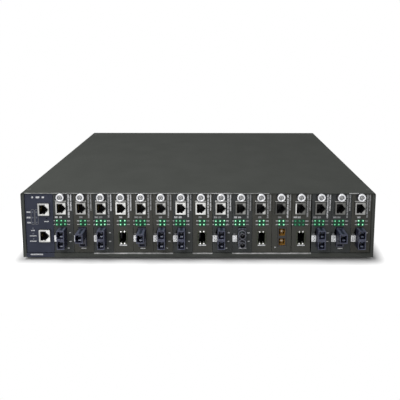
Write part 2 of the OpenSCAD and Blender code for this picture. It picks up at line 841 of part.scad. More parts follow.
module power_bays() color([0.55, 0.56, 0.56]) for (side = [0, 1]) {
    low = psu_x(side) - bay_gap;
    high = psu_x(side) + psu_w + bay_gap;
    y = [psu_y + bay_gap, body_d - sheet - seat];
    for (x = [low - bay_wall, high]) block([x, x + bay_wall], y, [inner_low, inner_low + bay_h]);
    block([low - bay_wall / 2, high + bay_wall / 2], y, [psu_low - run - bay_wall, psu_low - run]);
}

// Board that joins both power supplies, with a socket for each one's tongue
module power_dock() {
    color([0.05, 0.30, 0.17])
        block([psu_side, body_w - psu_side], [dock_y, dock_y + dock_t], [inner_low, inner_low + bay_h]);
    color([0.10, 0.10, 0.11]) for (side = [0, 1]) difference() {
        block([psu_x(side) + (psu_w - dock_block_w) / 2, psu_x(side) + (psu_w + dock_block_w) / 2],
            [dock_y + dock_t + seat, dock_y + dock_t + dock_block_t],
            [psu_low + psu_board_z + board_t / 2 - dock_block_h / 2, psu_low + psu_board_z + board_t / 2 + dock_block_h / 2]);
        block([psu_x(side) + (psu_w - psu_tongue_w) / 2 - run, psu_x(side) + (psu_w + psu_tongue_w) / 2 + run],
            [dock_y + dock_t + sheet, psu_y], [psu_low + psu_board_z - run, psu_low + psu_board_z + board_t + run]);
    }
}

// Places a power supply's pieces from its own lower left corner, with y from the case's front
module at_psu(side) translate([psu_x(side), 0, psu_low]) children();

module psu_case() difference() {
    union() {
        block([0, psu_w], [psu_y, body_d + plate_gap + sheet / 2], [0, psu_h]);
        block([-plate_rim, psu_w + plate_rim], [body_d + plate_gap, body_d + plate_gap + sheet],
            [-plate_rim, psu_h + plate_rim]);
    }
    block([psu_wall, psu_w - psu_wall], [psu_y + psu_wall, body_d + plate_gap], [psu_wall, psu_h - psu_wall]);
    block([(psu_w - dock_block_w) / 2 - run, (psu_w + dock_block_w) / 2 + run], [psu_y - over, psu_y + psu_wall + over],
        [psu_board_z - dock_block_h, psu_board_z + dock_block_h]);
    plate(inlet_x + inlet_w / 2, [body_d, body_d + sheet + over], inlet_z + inlet_h / 2,
        inlet_body_w + window * 2, inlet_body_h + window * 2);
    plate(rocker_x + rocker_w / 2, [body_d, body_d + sheet + over], rocker_z + rocker_h / 2,
        rocker_w + rocker_rim * 2 + window * 2, rocker_h + rocker_rim * 2 + window * 2);
    for (c = [0:air_cols - 1], r = [0:air_rows - 1])
        rod(air_x + c * air_pitch, air_z + r * air_pitch, air_r, [body_d, body_d + sheet + over]);
}

module psu_handle() {
    base = body_d + plate_gap + sheet - seat;
    grip = body_d + handle_reach - handle_r;
    for (s = [-1, 1]) {
        rod(handle_x, psu_h / 2 + s * handle_len / 2, handle_r, [base, grip]);
        translate([handle_x, grip, psu_h / 2 + s * handle_len / 2]) sphere(r = handle_r);
    }
    translate([handle_x, grip, psu_h / 2 - handle_len / 2]) cylinder(r = handle_r, h = handle_len);
}

module power_supply(side) at_psu(side) {
    color([0.50, 0.51, 0.52]) {
        union() {
            psu_case();
            psu_handle();
            for (x = [psu_screw_in, psu_w - psu_screw_in])
                rod(x, psu_h - psu_screw_in, psu_screw_r,
                    [body_d + plate_gap + sheet - seat, body_d + plate_gap + sheet + psu_screw_len]);
        }
    }
    color([0.05, 0.30, 0.17]) {
        block([psu_wall * 2, psu_w - psu_wall * 2], [psu_y + psu_wall * 2, body_d - inlet_len - plate_rim],
            [psu_board_z, psu_board_z + board_t]);
        block([(psu_w - psu_tongue_w) / 2, (psu_w + psu_tongue_w) / 2], [psu_y - psu_tongue_len, psu_y + psu_wall * 3],
            [psu_board_z, psu_board_z + board_t]);
    }
    deck = psu_board_z + board_t + seat;
    color([0.75, 0.62, 0.20]) translate([coil_x, psu_y + coil_y, deck]) cube(coil_size);
    color([0.12, 0.13, 0.16]) for (x = cap_xs) translate([x, psu_y + cap_y, deck]) cylinder(r = cap_r, h = cap_h);
    color([0.70, 0.71, 0.72]) translate([sink_x, psu_y + cap_y, deck]) cube(sink_size);
}

// AC inlet with three blades, and the bezel of the switch above it
module power_inlet(side) at_psu(side) color([0.06, 0.06, 0.07]) {
    y0 = body_d + plate_gap + sheet + seat;
    x = inlet_x + inlet_w / 2;
    z = inlet_z + inlet_h / 2;
    difference() {
        union() {
            plate(x, [y0, y0 + inlet_flange_t], z, inlet_w, inlet_h);
            plate(x, [y0 - inlet_len, y0 + inlet_flange_t], z, inlet_body_w, inlet_body_h);
        }
        plate(x, [y0 + inlet_flange_t - inlet_open_len, y0 + inlet_flange_t + over], z, inlet_open_w, inlet_open_h);
    }
    for (b = [[-blade_dx, -blade_dz / 2], [0, blade_dz / 2], [blade_dx, -blade_dz / 2]])
        plate(x + b[0], [y0 + inlet_flange_t - inlet_open_len - seat, y0 + inlet_flange_t - inlet_open_len + blade_len],
            z + b[1], blade_t, blade_w);
    rocker_bezel(y0);
}

module rocker_bezel(y0) {
    x = rocker_x + rocker_w / 2;
    z = rocker_z + rocker_h / 2;
    difference() {
        union() {
            plate(x, [y0 - rocker_depth, y0 + rocker_rim / 2], z, rocker_w + rocker_rim * 2, rocker_h + rocker_rim * 2);
            plate(x, [y0, y0 + rocker_rim / 2], z, rocker_w + rocker_rim * 3, rocker_h + rocker_rim * 3);
        }
        plate(x, [y0 - rocker_depth + rocker_rim, y0 + rocker_rim], z, rocker_w + run * 2, rocker_h + run * 2);
        translate([x - rocker_w / 2 - rocker_rim + run, y0 - rocker_pin_y, z]) rotate([0, 90, 0])
            cylinder(r = rocker_pin_r + fit, h = rocker_w + (rocker_rim - run) * 2);
    }
}

// Rocker that rests with its upper end pressed in, turning on a pin across the bezel
module power_switch(side) at_psu(side) color([0.10, 0.10, 0.11]) {
    y0 = body_d + plate_gap + sheet + seat;
    x = rocker_x + rocker_w / 2;
    z = rocker_z + rocker_h / 2;
    half = rocker_h / 2 - run * 2;
    translate([x, y0 - rocker_pin_y, z]) {
        rotate([rocker_tilt, 0, 0]) translate([-rocker_w / 2, 0, 0]) rotate([90, 0, 90])
            linear_extrude(height = rocker_w)
                polygon([[rocker_crown, -half], [rocker_crown - sheet, 0], [rocker_crown, half],
                    [0, half], [-rocker_root, half / 3], [-rocker_root, -half / 3], [0, -half]]);
        translate([-rocker_w / 2 - rocker_rim + run * 2, 0, 0]) rotate([0, 90, 0])
            cylinder(r = rocker_pin_r, h = rocker_w + (rocker_rim - run * 2) * 2);
    }
}

module at_fan_screws(side)
    for (sx = [-1, 1], sz = [-1, 1])
        translate([fan_x(side) + sx * (fan_w / 2 - fan_screw_in), 0, body_h / 2 + sz * (fan_w / 2 - fan_screw_in)])
            children();

// Square frame with a motor mount on four struts towards the rear
module fan_frame(side) color([0.09, 0.09, 0.10]) {
    y = [body_d - sheet - seat - fan_t, body_d - sheet - seat];
    difference() {
        plate(fan_x(side), y, body_h / 2, fan_w, fan_w);
        rod(fan_x(side), body_h / 2, fan_bore_r, [y[0] - over, y[1] + over]);
        at_fan_screws(side) rod(0, 0, fan_hole_r, [y[0] - over, y[1] + over]);
    }
    rod(fan_x(side), body_h / 2, fan_mount_r, [y[1] - fan_mount_t, y[1]]);
    translate([fan_x(side), 0, body_h / 2]) for (a = [45, 135]) rotate([0, a, 0])
        plate(0, [y[1] - fan_strut_t, y[1]], 0, fan_strut_w, fan_bore_r * 2 + fan_tip);
    rod(fan_x(side), body_h / 2, fan_pin_r, [y[0] + fan_axial * 3, y[1] - fan_mount_t + seat]);
}

module fan_rotor(side) color([0.13, 0.13, 0.14]) translate([fan_x(side), 0, body_h / 2]) {
    y = [body_d - sheet - seat - fan_t + fan_axial, body_d - sheet - seat - fan_mount_t - fan_axial / 2];
    difference() {
        union() {
            rod(0, 0, fan_hub_r, y);
            intersection() {
                for (b = [0:fan_blades - 1]) rotate([0, b * 360 / fan_blades, 0])
                    translate([0, (y[0] + y[1]) / 2, 0]) rotate([0, 0, fan_blade_pitch])
                        plate(0, [-fan_t / 2, fan_t / 2], fan_bore_r / 2, fan_blade_t, fan_bore_r);
                rod(0, 0, fan_bore_r - fan_tip, y);
            }
        }
        rod(0, 0, fan_pin_r + fit, [y[0] + fan_axial, y[1] + over]);
    }
}

// Punched finger guards: rings and two bars, with an eye at each screw
module fan_guards() color([0.60, 0.61, 0.62]) for (side = [0, 1]) {
    y = [body_d + seat, body_d + seat + guard_t];
    difference() {
        union() {
            for (r = guard_rings) difference() {
                rod(fan_x(side), body_h / 2, r + guard_wire / 2, y);
                rod(fan_x(side), body_h / 2, r - guard_wire / 2, [y[0] - over, y[1] + over]);
            }
            translate([fan_x(side), 0, body_h / 2]) for (a = [45, 135]) rotate([0, a, 0])
                plate(0, y, 0, guard_wire, norm([fan_w - fan_screw_in * 2, fan_w - fan_screw_in * 2]));
            at_fan_screws(side) rod(0, 0, guard_eye_r, y);
        }
        at_fan_screws(side) rod(0, 0, fan_hole_r, [y[0] - over, y[1] + over]);
    }
}

place() base_tray();
place() top_cover();
place() front_frame();
place() rear_panel();
place() rubber_feet();
place() case_screws();
place() lower_card_guide();
place() upper_card_guide();
place() backplane_board();
place() slot_connectors();
place() management_panel();
place() management_board();
place() management_jacks();
place() management_lamps();
place() reset_button();
place() power_bays();
place() power_dock();
place() power_supply(0);  // power_supply_1
place() power_supply(1);  // power_supply_2
place() power_inlet(0);  // power_inlet_1
place() power_inlet(1);  // power_inlet_2
place() power_switch(0);  // power_switch_1
place() power_switch(1);  // power_switch_2
place() fan_frame(0);  // fan_frame_1
place() fan_frame(1);  // fan_frame_2
place() fan_rotor(0);  // fan_rotor_1
place() fan_rotor(1);  // fan_rotor_2
place() fan_guards();
for (i = [0:SLOTS - 1]) {
    place() converter(i);
    place() thumb_screw(i);
}
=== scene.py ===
"""Finished pieces of a rack chassis with sixteen media converters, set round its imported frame."""

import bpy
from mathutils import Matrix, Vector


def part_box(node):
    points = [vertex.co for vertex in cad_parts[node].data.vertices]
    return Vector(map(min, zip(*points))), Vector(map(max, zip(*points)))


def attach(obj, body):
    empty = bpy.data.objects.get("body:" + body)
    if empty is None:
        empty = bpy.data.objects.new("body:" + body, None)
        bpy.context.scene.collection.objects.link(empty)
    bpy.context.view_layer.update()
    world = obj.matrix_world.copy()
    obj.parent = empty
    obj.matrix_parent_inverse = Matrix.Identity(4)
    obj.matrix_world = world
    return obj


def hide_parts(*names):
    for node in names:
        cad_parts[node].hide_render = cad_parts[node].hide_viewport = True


bl_info = {
    "name": "Media Converter Chassis",
    "version": (1, 0, 0),
    "blender": (4, 5, 0),
    "location": "3D View > Sidebar > Chassis",
    "description": "Builds the finished pieces of a rack chassis with sixteen media converters",
    "category": "Object",
}

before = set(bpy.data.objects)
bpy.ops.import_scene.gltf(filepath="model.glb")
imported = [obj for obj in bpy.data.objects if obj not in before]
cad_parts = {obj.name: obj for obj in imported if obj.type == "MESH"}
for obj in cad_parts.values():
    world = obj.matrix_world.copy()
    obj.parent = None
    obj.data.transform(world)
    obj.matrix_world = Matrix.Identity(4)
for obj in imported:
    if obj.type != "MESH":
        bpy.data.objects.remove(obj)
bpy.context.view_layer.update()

import math
import random
from collections import namedtuple

import bmesh
import bpy
from bpy.props import FloatProperty, FloatVectorProperty, IntProperty, PointerProperty
from mathutils import Vector
from mathutils.geometry import tessellate_polygon

MM = 0.001

# The case's left side, front and floor, from which every length below is measured in millimetres
CORNER = Vector((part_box("top_cover")[0].x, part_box("top_cover")[0].y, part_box("base_tray")[0].z))
CASE_W, CASE_D, CASE_H = 440.0, 300.0, 84.0
SLOTS = 16
GAP = 0.2
PITCH = (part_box("converter_02")[0].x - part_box("converter_01")[0].x) / MM
FIRST_SLOT = (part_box("converter_01")[0].x - CORNER.x) / MM - GAP

# What tells the modules apart, from left to right: optic, number of lamps, faceplate's paint, tone of the tin of
# the jack's frame and of the corners beside its latch notch (painted reflection and shade of the same plated tin),
# glow of the lamps, and strength of the two columns of print
Module = namedtuple("Module", "optic lamps paint frame corner glow print_1 print_2")
MODULES = [Module(*row) for row in (
    ("duplex", 6, "cool", "mid", "bright", "mid", "full", "full"),
    ("single", 4, "warm", "soft", "mid", "mid", "half", "half"),
    ("duplex", 6, "cool", "soft", "bright", "high", "half", "full"),
    ("cage", 4, "warm", "bright", "bright", "high", "full", "full"),
    ("single", 6, "warm", "soft", "bright", "mid", "half", "half"),
    ("duplex", 4, "warm", "soft", "mid", "high", "half", "half"),
    ("duplex", 6, "cool", "bright", "bright", "mid", "full", "half"),
    ("cage", 4, "warm", "bright", "bright", "high", "full", "full"),
    ("duplex", 6, "cool", "mid", "bright", "high", "full", "full"),
    ("round", 6, "cool", "dim", "soft", "high", "half", "half"),
    ("cage", 4, "warm", "dim", "mid", "high", "half", "half"),
    ("flush", 4, "warm", "dark", "dim", "high", "full", "half"),
    ("cage", 6, "warm", "dim", "dim", "low", "half", "half"),
    ("duplex", 6, "cool", "dim", "dim", "mid", "full", "full"),
    ("single", 6, "cool", "dim", "dim", "mid", "half", "half"),
    ("duplex", 4, "warm", "soft", "soft", "high", "half", "half"))]
# By number from zero: modules without a switch block, the one whose jack has a painted highlight down its left
# side, those whose neighbour to the right stands off a little, and those above a stretch of the lip painted lighter
# as a highlight
UNSWITCHED = (3, 7, 10, 11, 12)
LIT_JACK = 12
STAND_OFF = {12: 1.1, 11: 0.3}
HIGHLIT_LIP = (2, 3, 4, 5, 7, 9, 10, 11, 12)

# Depths and places of a module's faceplate and of what stands in it, from the module's left side. Each optic's nose
# is given by its middle, width and height.
FACE, FACE_BACK = 1.2, 2.4
FACE_LOW, FACE_HIGH = 5.4, 82.5
SCREW_X, SCREW_Z, SHAFT_R, WASHER_R = 10.4, 79.0, 1.56, 5.8
JACK_X, JACK_Z, JACK_W, JACK_H, JACK_MARGIN = 3.7, 64.0, 12.6, 15.4, 1.6
JACK_MOUTH, JACK_LEN = -0.8, 16.0
OPEN_W, OPEN_H = 7.2, 11.9
LAMP_COLUMNS, LAMP_ROWS, LAMP_R = (4.2, 9.3, 14.4), (47.25, 42.55), 1.5
OPTIC_X, OPTIC_Z, PORT_STEP = 11.0, 26.4, 6.35
SWITCH_X, SWITCH_Z, SWITCH_W, SWITCH_H = 0.9, 24.2, 5.0, 7.6
BOARD_X, BOARD_T, BOARD_Y, BOARD_END = 1.9, 1.6, 6.5, 98.0
PARTS_X = 3.7
NOSES = {"duplex": (11.0, 26.4, 9.3, 24.4), "single": (11.0, 26.4, 9.5, 24.5),
         "cage": (11.7, 25.4, 9.2, 14.7), "round": (12.2, 26.4, 9.6, 24.4),
         "flush": (12.85, 26.0, 10.7, 25.8)}

# Management panel
PANEL_X, PANEL_END = 4.2, 39.0
PANEL_JACK_X, PANEL_JACK_W, PANEL_JACK_H, PANEL_MARGIN = 20.8, 14.0, 15.6, 1.8
PANEL_JACK_ZS = (62.4, 28.1)
PANEL_LAMP_XS, PANEL_LAMP_ZS, PANEL_SINGLE_ZS = (13.2, 18.2), (58.6, 51.5, 44.9), (37.7, 30.5, 23.6)
RESET_X, RESET_Z = 30.6, 50.0

# Power supplies and fans at the back, with the inlet and the rocker measured from their supply's corner
SUPPLY_XS, SUPPLY_Z, SUPPLY_W, SUPPLY_H, SUPPLY_Y = (14.0, 316.0), 5.0, 110.0, 72.0, 137.0
PLATE_Y, PLATE_END = 300.3, 301.5
INLET_X, INLET_Z = 27.5, 26.0
ROCKER_X, ROCKER_Z = 24.5, 54.0
FAN_XS, FAN_Z = (188.0, 252.0), 42.0
FAN_CORNERS = [(x, z) for x in (-25, 25) for z in (-25, 25)]


def srgb(red, green, blue):
    """A colour given by its screen values, as Blender's linear one."""
    return tuple(((c / 255 + 0.055) / 1.055) ** 2.4 if c > 10 else c / 255 / 12.92
                 for c in (red, green, blue))


def shade(colour, by):
    return tuple(min(1.0, c * by) for c in colour)


class ChassisSizes(bpy.types.PropertyGroup):
    """Sizes of the small forms that a user may change"""

    edge: FloatProperty(name="Edge", description="Width of the broken edge of pressed plates in millimetres",
                        default=0.25, min=0.05, max=0.5)
    print_t: FloatProperty(name="Print", description="Thickness of the printed marks in millimetres",
                           default=0.05, min=0.02, max=0.1)
    ridges: IntProperty(name="Ridges", description="Number of ridges round a thumb screw's knob",
                        default=40, min=20, max=60)
    ridge_t: FloatProperty(name="Ridge depth", description="Depth of the knob's ridges in millimetres",
                           default=0.18, min=0.05, max=0.3)
    wire_r: FloatProperty(name="Contact wire",
                          description="Radius of a network jack's contact wires in millimetres",
                          default=0.2, min=0.1, max=0.3)


def colour_property(name, description, default):
    return FloatVectorProperty(name=name, description=description, default=default, subtype="COLOR",
                               size=3, min=0.0, max=1.0)


class ChassisColours(bpy.types.PropertyGroup):
    """Colours of the paints, plastics and lamps"""

    case: colour_property("Case", "Powder coat of the cover and frame", srgb(69, 71, 68))
    panel: colour_property("Panel", "Paint of the management panel", srgb(56, 59, 71))
    cool: colour_property("Cool faceplate", "Cooler paint of some faceplates", srgb(64, 66, 66))
    warm: colour_property("Warm faceplate", "Warmer paint of the other faceplates", srgb(70, 70, 66))
    optic: colour_property("Optic", "Dark blue plastic of the optics", srgb(28, 30, 46))
    lamp: colour_property("Lamp", "Green of the lit lamps", srgb(30, 128, 84))
    marks: colour_property("Print", "Printed marks", srgb(218, 219, 222))


# Outlines, as points in order round a flat shape

def rect(left, right, low, high, corner=0.0, steps=4):
    """A rectangle, with round corners if corner is given."""
    if not corner:
        return [(left, low), (right, low), (right, high), (left, high)]
    points = []
    for x, z, start in ((right - corner, low + corner, -90), (right - corner, high - corner, 0),
                        (left + corner, high - corner, 90), (left + corner, low + corner, 180)):
        for step in range(steps + 1):
            angle = math.radians(start + 90 * step / steps)
            points.append((x + corner * math.cos(angle), z + corner * math.sin(angle)))
    return points


def middle(x, z, wide, tall, corner=0.0):
    """A rectangle round its middle."""
    return rect(x - wide / 2, x + wide / 2, z - tall / 2, z + tall / 2, corner)


def disc(x, z, radius, steps=32):
    return [(x + radius * math.cos(math.tau * k / steps), z + radius * math.sin(math.tau * k / steps))
            for k in range(steps)]


def stepped(x, z):
    """The opening of a network jack, with its latch steps to the right."""
    half, right = OPEN_H / 2, x + OPEN_W
    steps = ((0.0, 4.1), (1.2, 4.1), (1.2, 2.8), (2.4, 2.8), (2.4, 1.4), (3.5, 1.4))
    return [(x, z - half), (right, z - half)] + [(right + a, z - b) for a, b in steps] + \
        [(right + a, z + b) for a, b in reversed(steps)] + [(right, z + half), (x, z + half)]


def keyed(x, z, wide, tall, key=0.5, key_h=2.8):
    """A square port with a shallow key way in its left side."""
    left, right, low, high = x - wide / 2, x + wide / 2, z - tall / 2, z + tall / 2
    return [(left, low), (right, low), (right, high), (left, high), (left, z + key_h / 2),
            (left - key, z + key_h / 2), (left - key, z - key_h / 2), (left, z - key_h / 2)]


def cross(x, z, reach, arm):
    points = []
    for turn in range(4):
        angle = math.radians(90 * turn)
        for a, b in ((reach, -arm), (reach, arm), (arm, arm)):
            points.append((x + a * math.cos(angle) - b * math.sin(angle),
                           z + a * math.sin(angle) + b * math.cos(angle)))
    return points


def grow(outline, by):
    """The outline moved outward, or inward by a negative length."""
    moved = []
    for i, point in enumerate(outline):
        here, before, after = Vector(point), Vector(outline[i - 1]), Vector(outline[(i + 1) % len(outline)])
        a, b = (here - before).normalized(), (after - here).normalized()
        out = Vector((a.y + b.y, -a.x - b.x))
        moved.append(tuple(here + out * (by / (1 + a.dot(b)))))
    return moved


class Shape:
    """Faces of one piece. An outline lies across its axis, and depths run along the axis. A finish is given by its
    place in the list of finishes that the piece gets."""

    def __init__(self, x=0.0, y=0.0, z=0.0):
        self.at = Vector((x, y, z))
        self.points, self.faces, self.finishes = [], [], []

    def face(self, corners, finish):
        self.faces.append(list(corners))
        self.finishes.append(finish)

    def ring(self, outline, depth, axis):
        first = len(self.points)
        for a, b in outline:
            place = {"x": (depth, a, b), "y": (a, depth, b), "z": (a, b, depth)}[axis]
            self.points.append(self.at + Vector(place))
        return list(range(first, len(self.points)))

    def wall(self, one, two, finish):
        for i, corner in enumerate(one):
            self.face((one[i - 1], two[i - 1], two[i], corner), finish)

    def cap(self, rings, finish):
        if len(rings) == 1:
            self.face(rings[0], finish)
            return
        corners = [i for ring in rings for i in ring]
        for triangle in tessellate_polygon([[self.points[i] for i in ring] for ring in rings]):
            self.face([corners[i] for i in triangle], finish)

    def slab(self, outline, near, far, holes=(), edge=0.15, finish=0, rim=None, face=None, axis="y"):
        """A plate with holes through it and a broken edge at both faces."""
        rim = finish if rim is None else rim
        fronts, backs = [], []
        for points, side in [(outline, -1)] + [(hole, 1) for hole in holes]:
            inner = grow(points, side * edge) if edge else points
            steps = [(inner, near), (points, near + edge), (points, far - edge), (inner, far)] if edge else \
                [(points, near), (points, far)]
            rings = [self.ring(way, depth, axis) for way, depth in steps]
            for k in range(len(rings) - 1):
                self.wall(rings[k], rings[k + 1], rim if edge and k != 1 else finish)
            fronts.append(rings[0])
            backs.append(rings[-1])
        self.cap(fronts, finish if face is None else face)
        self.cap(backs, finish)
        return self

    def turned(self, profile, a, b, steps=32, finish=0, axis="y", closed=False):
        """A round body from pairs of depth and radius; a third number is the depth of its ridges.
        Its finish is one number, or one for each step of the profile."""
        rings = []
        for depth, radius, *ridge in profile:
            if radius:
                cut = ridge[0] if ridge else 0.0
                rings.append(self.ring([(a + (radius - cut * (k % 2)) * math.cos(math.tau * k / steps),
                                         b + (radius - cut * (k % 2)) * math.sin(math.tau * k / steps))
                                        for k in range(steps)], depth, axis))
            else:
                rings.append(self.ring([(a, b)], depth, axis) * steps)
        for j, (one, two) in enumerate(zip(rings, rings[1:] + rings[:1] if closed else rings[1:])):
            for k in range(steps):
                self.face(dict.fromkeys((one[k - 1], two[k - 1], two[k], one[k])),
                          finish if isinstance(finish, int) else finish[j])
        return self

    def sweep(self, path, section, up, finish=0, closed=False):
        """A section carried along a path in one plane, with its first number along that plane's normal."""
        points, normal, rings = [Vector(p) for p in path], Vector(up), []
        last = len(points) - 1
        for i, here in enumerate(points):
            before = points[i - 1] if i or closed else here
            after = points[(i + 1) % len(points)] if i < last or closed else here
            across = (after - before).normalized().cross(normal)
            first = len(self.points)
            self.points += [self.at + here + normal * a + across * b for a, b in section]
            rings.append(list(range(first, len(self.points))))
        for one, two in zip(rings, rings[1:] + rings[:1] if closed else rings[1:]):
            self.wall(one, two, finish)
        if not closed:
            self.face(rings[0], finish)
            self.face(rings[-1], finish)
        return self

    def mesh(self, name):
        data = bpy.data.meshes.new(name)
        data.from_pydata([CORNER + point * MM for point in self.points], [], self.faces)
        data.polygons.foreach_set("material_index", self.finishes)
        work = bmesh.new()
        work.from_mesh(data)
        bmesh.ops.recalc_face_normals(work, faces=work.faces)
        work.to_mesh(data)
        work.free()
        data.shade_smooth()
        data.set_sharp_from_angle(angle=math.radians(32))
        return data


# Finishes

class Finish:
    """Nodes of one finish, with its grain measured on the piece itself."""

    def __init__(self, name, colour, rough, metal=0.0, gloss=0.5):
        self.material = bpy.data.materials.new(name)
        self.material.use_nodes = True
        self.nodes, self.links = self.material.node_tree.nodes, self.material.node_tree.links
        self.shader = self.nodes["Principled BSDF"]
        for socket, value in (("Base Color", (*colour, 1.0)), ("Roughness", rough), ("Metallic", metal),
                              ("Specular IOR Level", gloss)):
            self.shader.inputs[socket].default_value = value
        self.place = self.nodes.new("ShaderNodeTexCoord").outputs["Object"]

    def node(self, kind, inputs=(), **settings):
        made = self.nodes.new(kind)
        for key, value in settings.items():
            setattr(made, key, value)
        for key, value in dict(inputs).items():
            if isinstance(value, bpy.types.NodeSocket):
                self.links.new(value, made.inputs[key])
            else:
                made.inputs[key].default_value = value
        return made

    def noise(self, size, detail=2.0, stretch=(1, 1, 1)):
        """Grain of about a given size in millimetres, drawn out along an axis where stretch is over one."""
        place = self.node("ShaderNodeMapping", {"Vector": self.place,
                                                "Scale": [1 / (size * MM * s) for s in stretch]}).outputs[0]
        return self.node("ShaderNodeTexNoise", {"Vector": place, "Scale": 1.0, "Detail": detail}).outputs[0]

    def span(self, value, low, high, start=0.0, end=1.0):
        return self.node("ShaderNodeMapRange", {"Value": value, "From Min": low, "From Max": high,
                                                "To Min": start, "To Max": end}).outputs[0]

    def tint(self, factor, one, two):
        """Base colour that goes from one colour, or what a socket gives, to the other."""
        first = one if isinstance(one, bpy.types.NodeSocket) else (*one, 1.0)
        mix = self.node("ShaderNodeMix", {0: factor, 6: first, 7: (*two, 1.0)}, data_type="RGBA").outputs[2]
        self.links.new(mix, self.shader.inputs["Base Color"])
        return mix

    def roughen(self, value, smooth, rough):
        self.links.new(self.span(value, 0.3, 0.7, smooth, rough), self.shader.inputs["Roughness"])

    def bump(self, height, depth, strength=1.0):
        """Relief of a given depth in millimetres."""
        made = self.node("ShaderNodeBump", {"Height": height, "Distance": depth * MM, "Strength": strength})
        self.links.new(made.outputs[0], self.shader.inputs["Normal"])


def powder_coat(name, colour, rough=0.6, gloss=0.05, patch=22.0, mottle=0.07):
    """Baked paint with a fine orange peel and a slow change of tone over patches of a given size."""
    made = Finish(name, colour, rough, gloss=gloss)
    peel, cloud = made.noise(0.6, 3.0), made.noise(patch, 3.0)
    made.tint(made.span(cloud, 0.35, 0.65), shade(colour, 1 - mottle), shade(colour, 1 + mottle))
    made.roughen(peel, rough - 0.07, rough + 0.07)
    made.bump(peel, 0.03, 0.6)
    return made.material


def painted_edge_highlight(name, colour, light):
    """Painted highlight along an edge: the paint goes lighter in short stretches where the edge catches light."""
    made = Finish(name, colour, 0.5, gloss=0.2)
    rub = made.noise(2.2, 4.0, (3.0, 1.0, 1.0))
    made.tint(made.span(rub, 0.38, 0.62), colour, light)
    made.roughen(rub, 0.5, 0.35)
    made.bump(made.noise(0.3), 0.02, 0.5)
    return made.material


def plated(name, colour, rough=0.3, stretch=(1, 1, 1), mottle=0.12):
    """Plated or bright metal with fine drawn marks and a faint mottle."""
    made = Finish(name, colour, rough, metal=1.0)
    marks, cloud = made.noise(0.16, 3.0, stretch), made.noise(3.5, 3.0)
    made.tint(made.span(cloud, 0.35, 0.65), shade(colour, 1 - mottle), shade(colour, 1 + mottle / 2))
    made.roughen(marks, rough - 0.07, rough + 0.1)
    made.bump(marks, 0.006, 0.5)
    return made.material


def spangled(name, colour, rough=0.38):
    """Zinc-plated sheet with flat crystals of slightly different tone."""
    made = Finish(name, colour, rough, metal=1.0)
    cells = made.node("ShaderNodeTexVoronoi", {"Vector": made.place, "Scale": 260.0}).outputs["Color"]
    value = made.node("ShaderNodeSeparateColor", {"Color": cells}).outputs[0]
    made.tint(value, shade(colour, 0.86), shade(colour, 1.08))
    made.roughen(value, rough - 0.06, rough + 0.08)
    made.bump(made.noise(0.5), 0.008, 0.5)
    return made.material


def moulded(name, colour, rough=0.45, depth=0.012):
    """Moulded plastic or rubber with a fine eroded grain."""
    made = Finish(name, colour, rough)
    grain, cloud = made.noise(0.22, 3.0), made.noise(6.0)
    made.tint(made.span(cloud, 0.35, 0.65), shade(colour, 0.88), shade(colour, 1.12))
    made.roughen(grain, rough - 0.08, rough + 0.1)
    made.bump(grain, depth, 0.6)
    return made.material


def glowing(name, colour, glow, strength):
    """Tinted lens that is lit from behind, brighter in patches where the light enters."""
    made = Finish(name, colour, 0.35, gloss=0.2)
    cloud = made.noise(0.5)
    made.tint(made.span(cloud, 0.35, 0.65), shade(colour, 0.8), colour)
    made.shader.inputs["Emission Color"].default_value = (*glow, 1.0)
    made.links.new(made.span(cloud, 0.3, 0.7, strength * 0.8, strength * 1.2),
                   made.shader.inputs["Emission Strength"])
    made.bump(cloud, 0.01, 0.4)
    return made.material


def solder_mask(name, colour):
    """Circuit board with tracks under its mask and small bright vias."""
    made = Finish(name, colour, 0.35)
    way = made.node("ShaderNodeTexVoronoi", {"Vector": made.place, "Scale": 420.0}, distance="MANHATTAN",
                    feature="F1")
    bands = made.node("ShaderNodeTexWave", {"Vector": made.place, "Scale": 300.0, "Distortion": 1.5},
                      bands_direction="Z").outputs["Color"]
    patch = made.noise(9.0)
    tracks = made.node("ShaderNodeMath", {0: made.span(bands, 0.55, 0.65), 1: made.span(patch, 0.45, 0.5)},
                       operation="MULTIPLY").outputs[0]
    green = made.tint(tracks, colour, shade(colour, 1.7))
    made.tint(made.span(way.outputs["Distance"], 0.12, 0.08), green, srgb(190, 170, 90))
    made.bump(tracks, 0.035, 0.8)
    made.roughen(patch, 0.3, 0.42)
    return made.material


def printed(name, colour):
    """Screen print that lets a little of the ground through."""
    made = Finish(name, colour, 0.55, gloss=0.3)
    grain = made.noise(0.18)
    made.tint(made.span(grain, 0.3, 0.6), shade(colour, 0.6), colour)
    made.roughen(grain, 0.48, 0.62)
    made.bump(grain, 0.006, 0.4)
    return made.material


def wound(name, colour):
    """Enamelled wire wound in close turns."""
    made = Finish(name, colour, 0.3, metal=0.8)
    turns = made.node("ShaderNodeTexWave", {"Vector": made.place, "Scale": 330.0},
                      bands_direction="Y").outputs["Color"]
    made.tint(turns, shade(colour, 0.5), colour)
    made.roughen(turns, 0.4, 0.25)
    made.bump(turns, 0.3, 0.8)
    return made.material


# Tones of one plated tin, from bright to dark. The jacks take them module by module as painted reflection and
# shade; other parts take one each
TINS = {"bright": 226, "mid": 186, "soft": 152, "dull": 124, "dim": 108, "dark": 80}
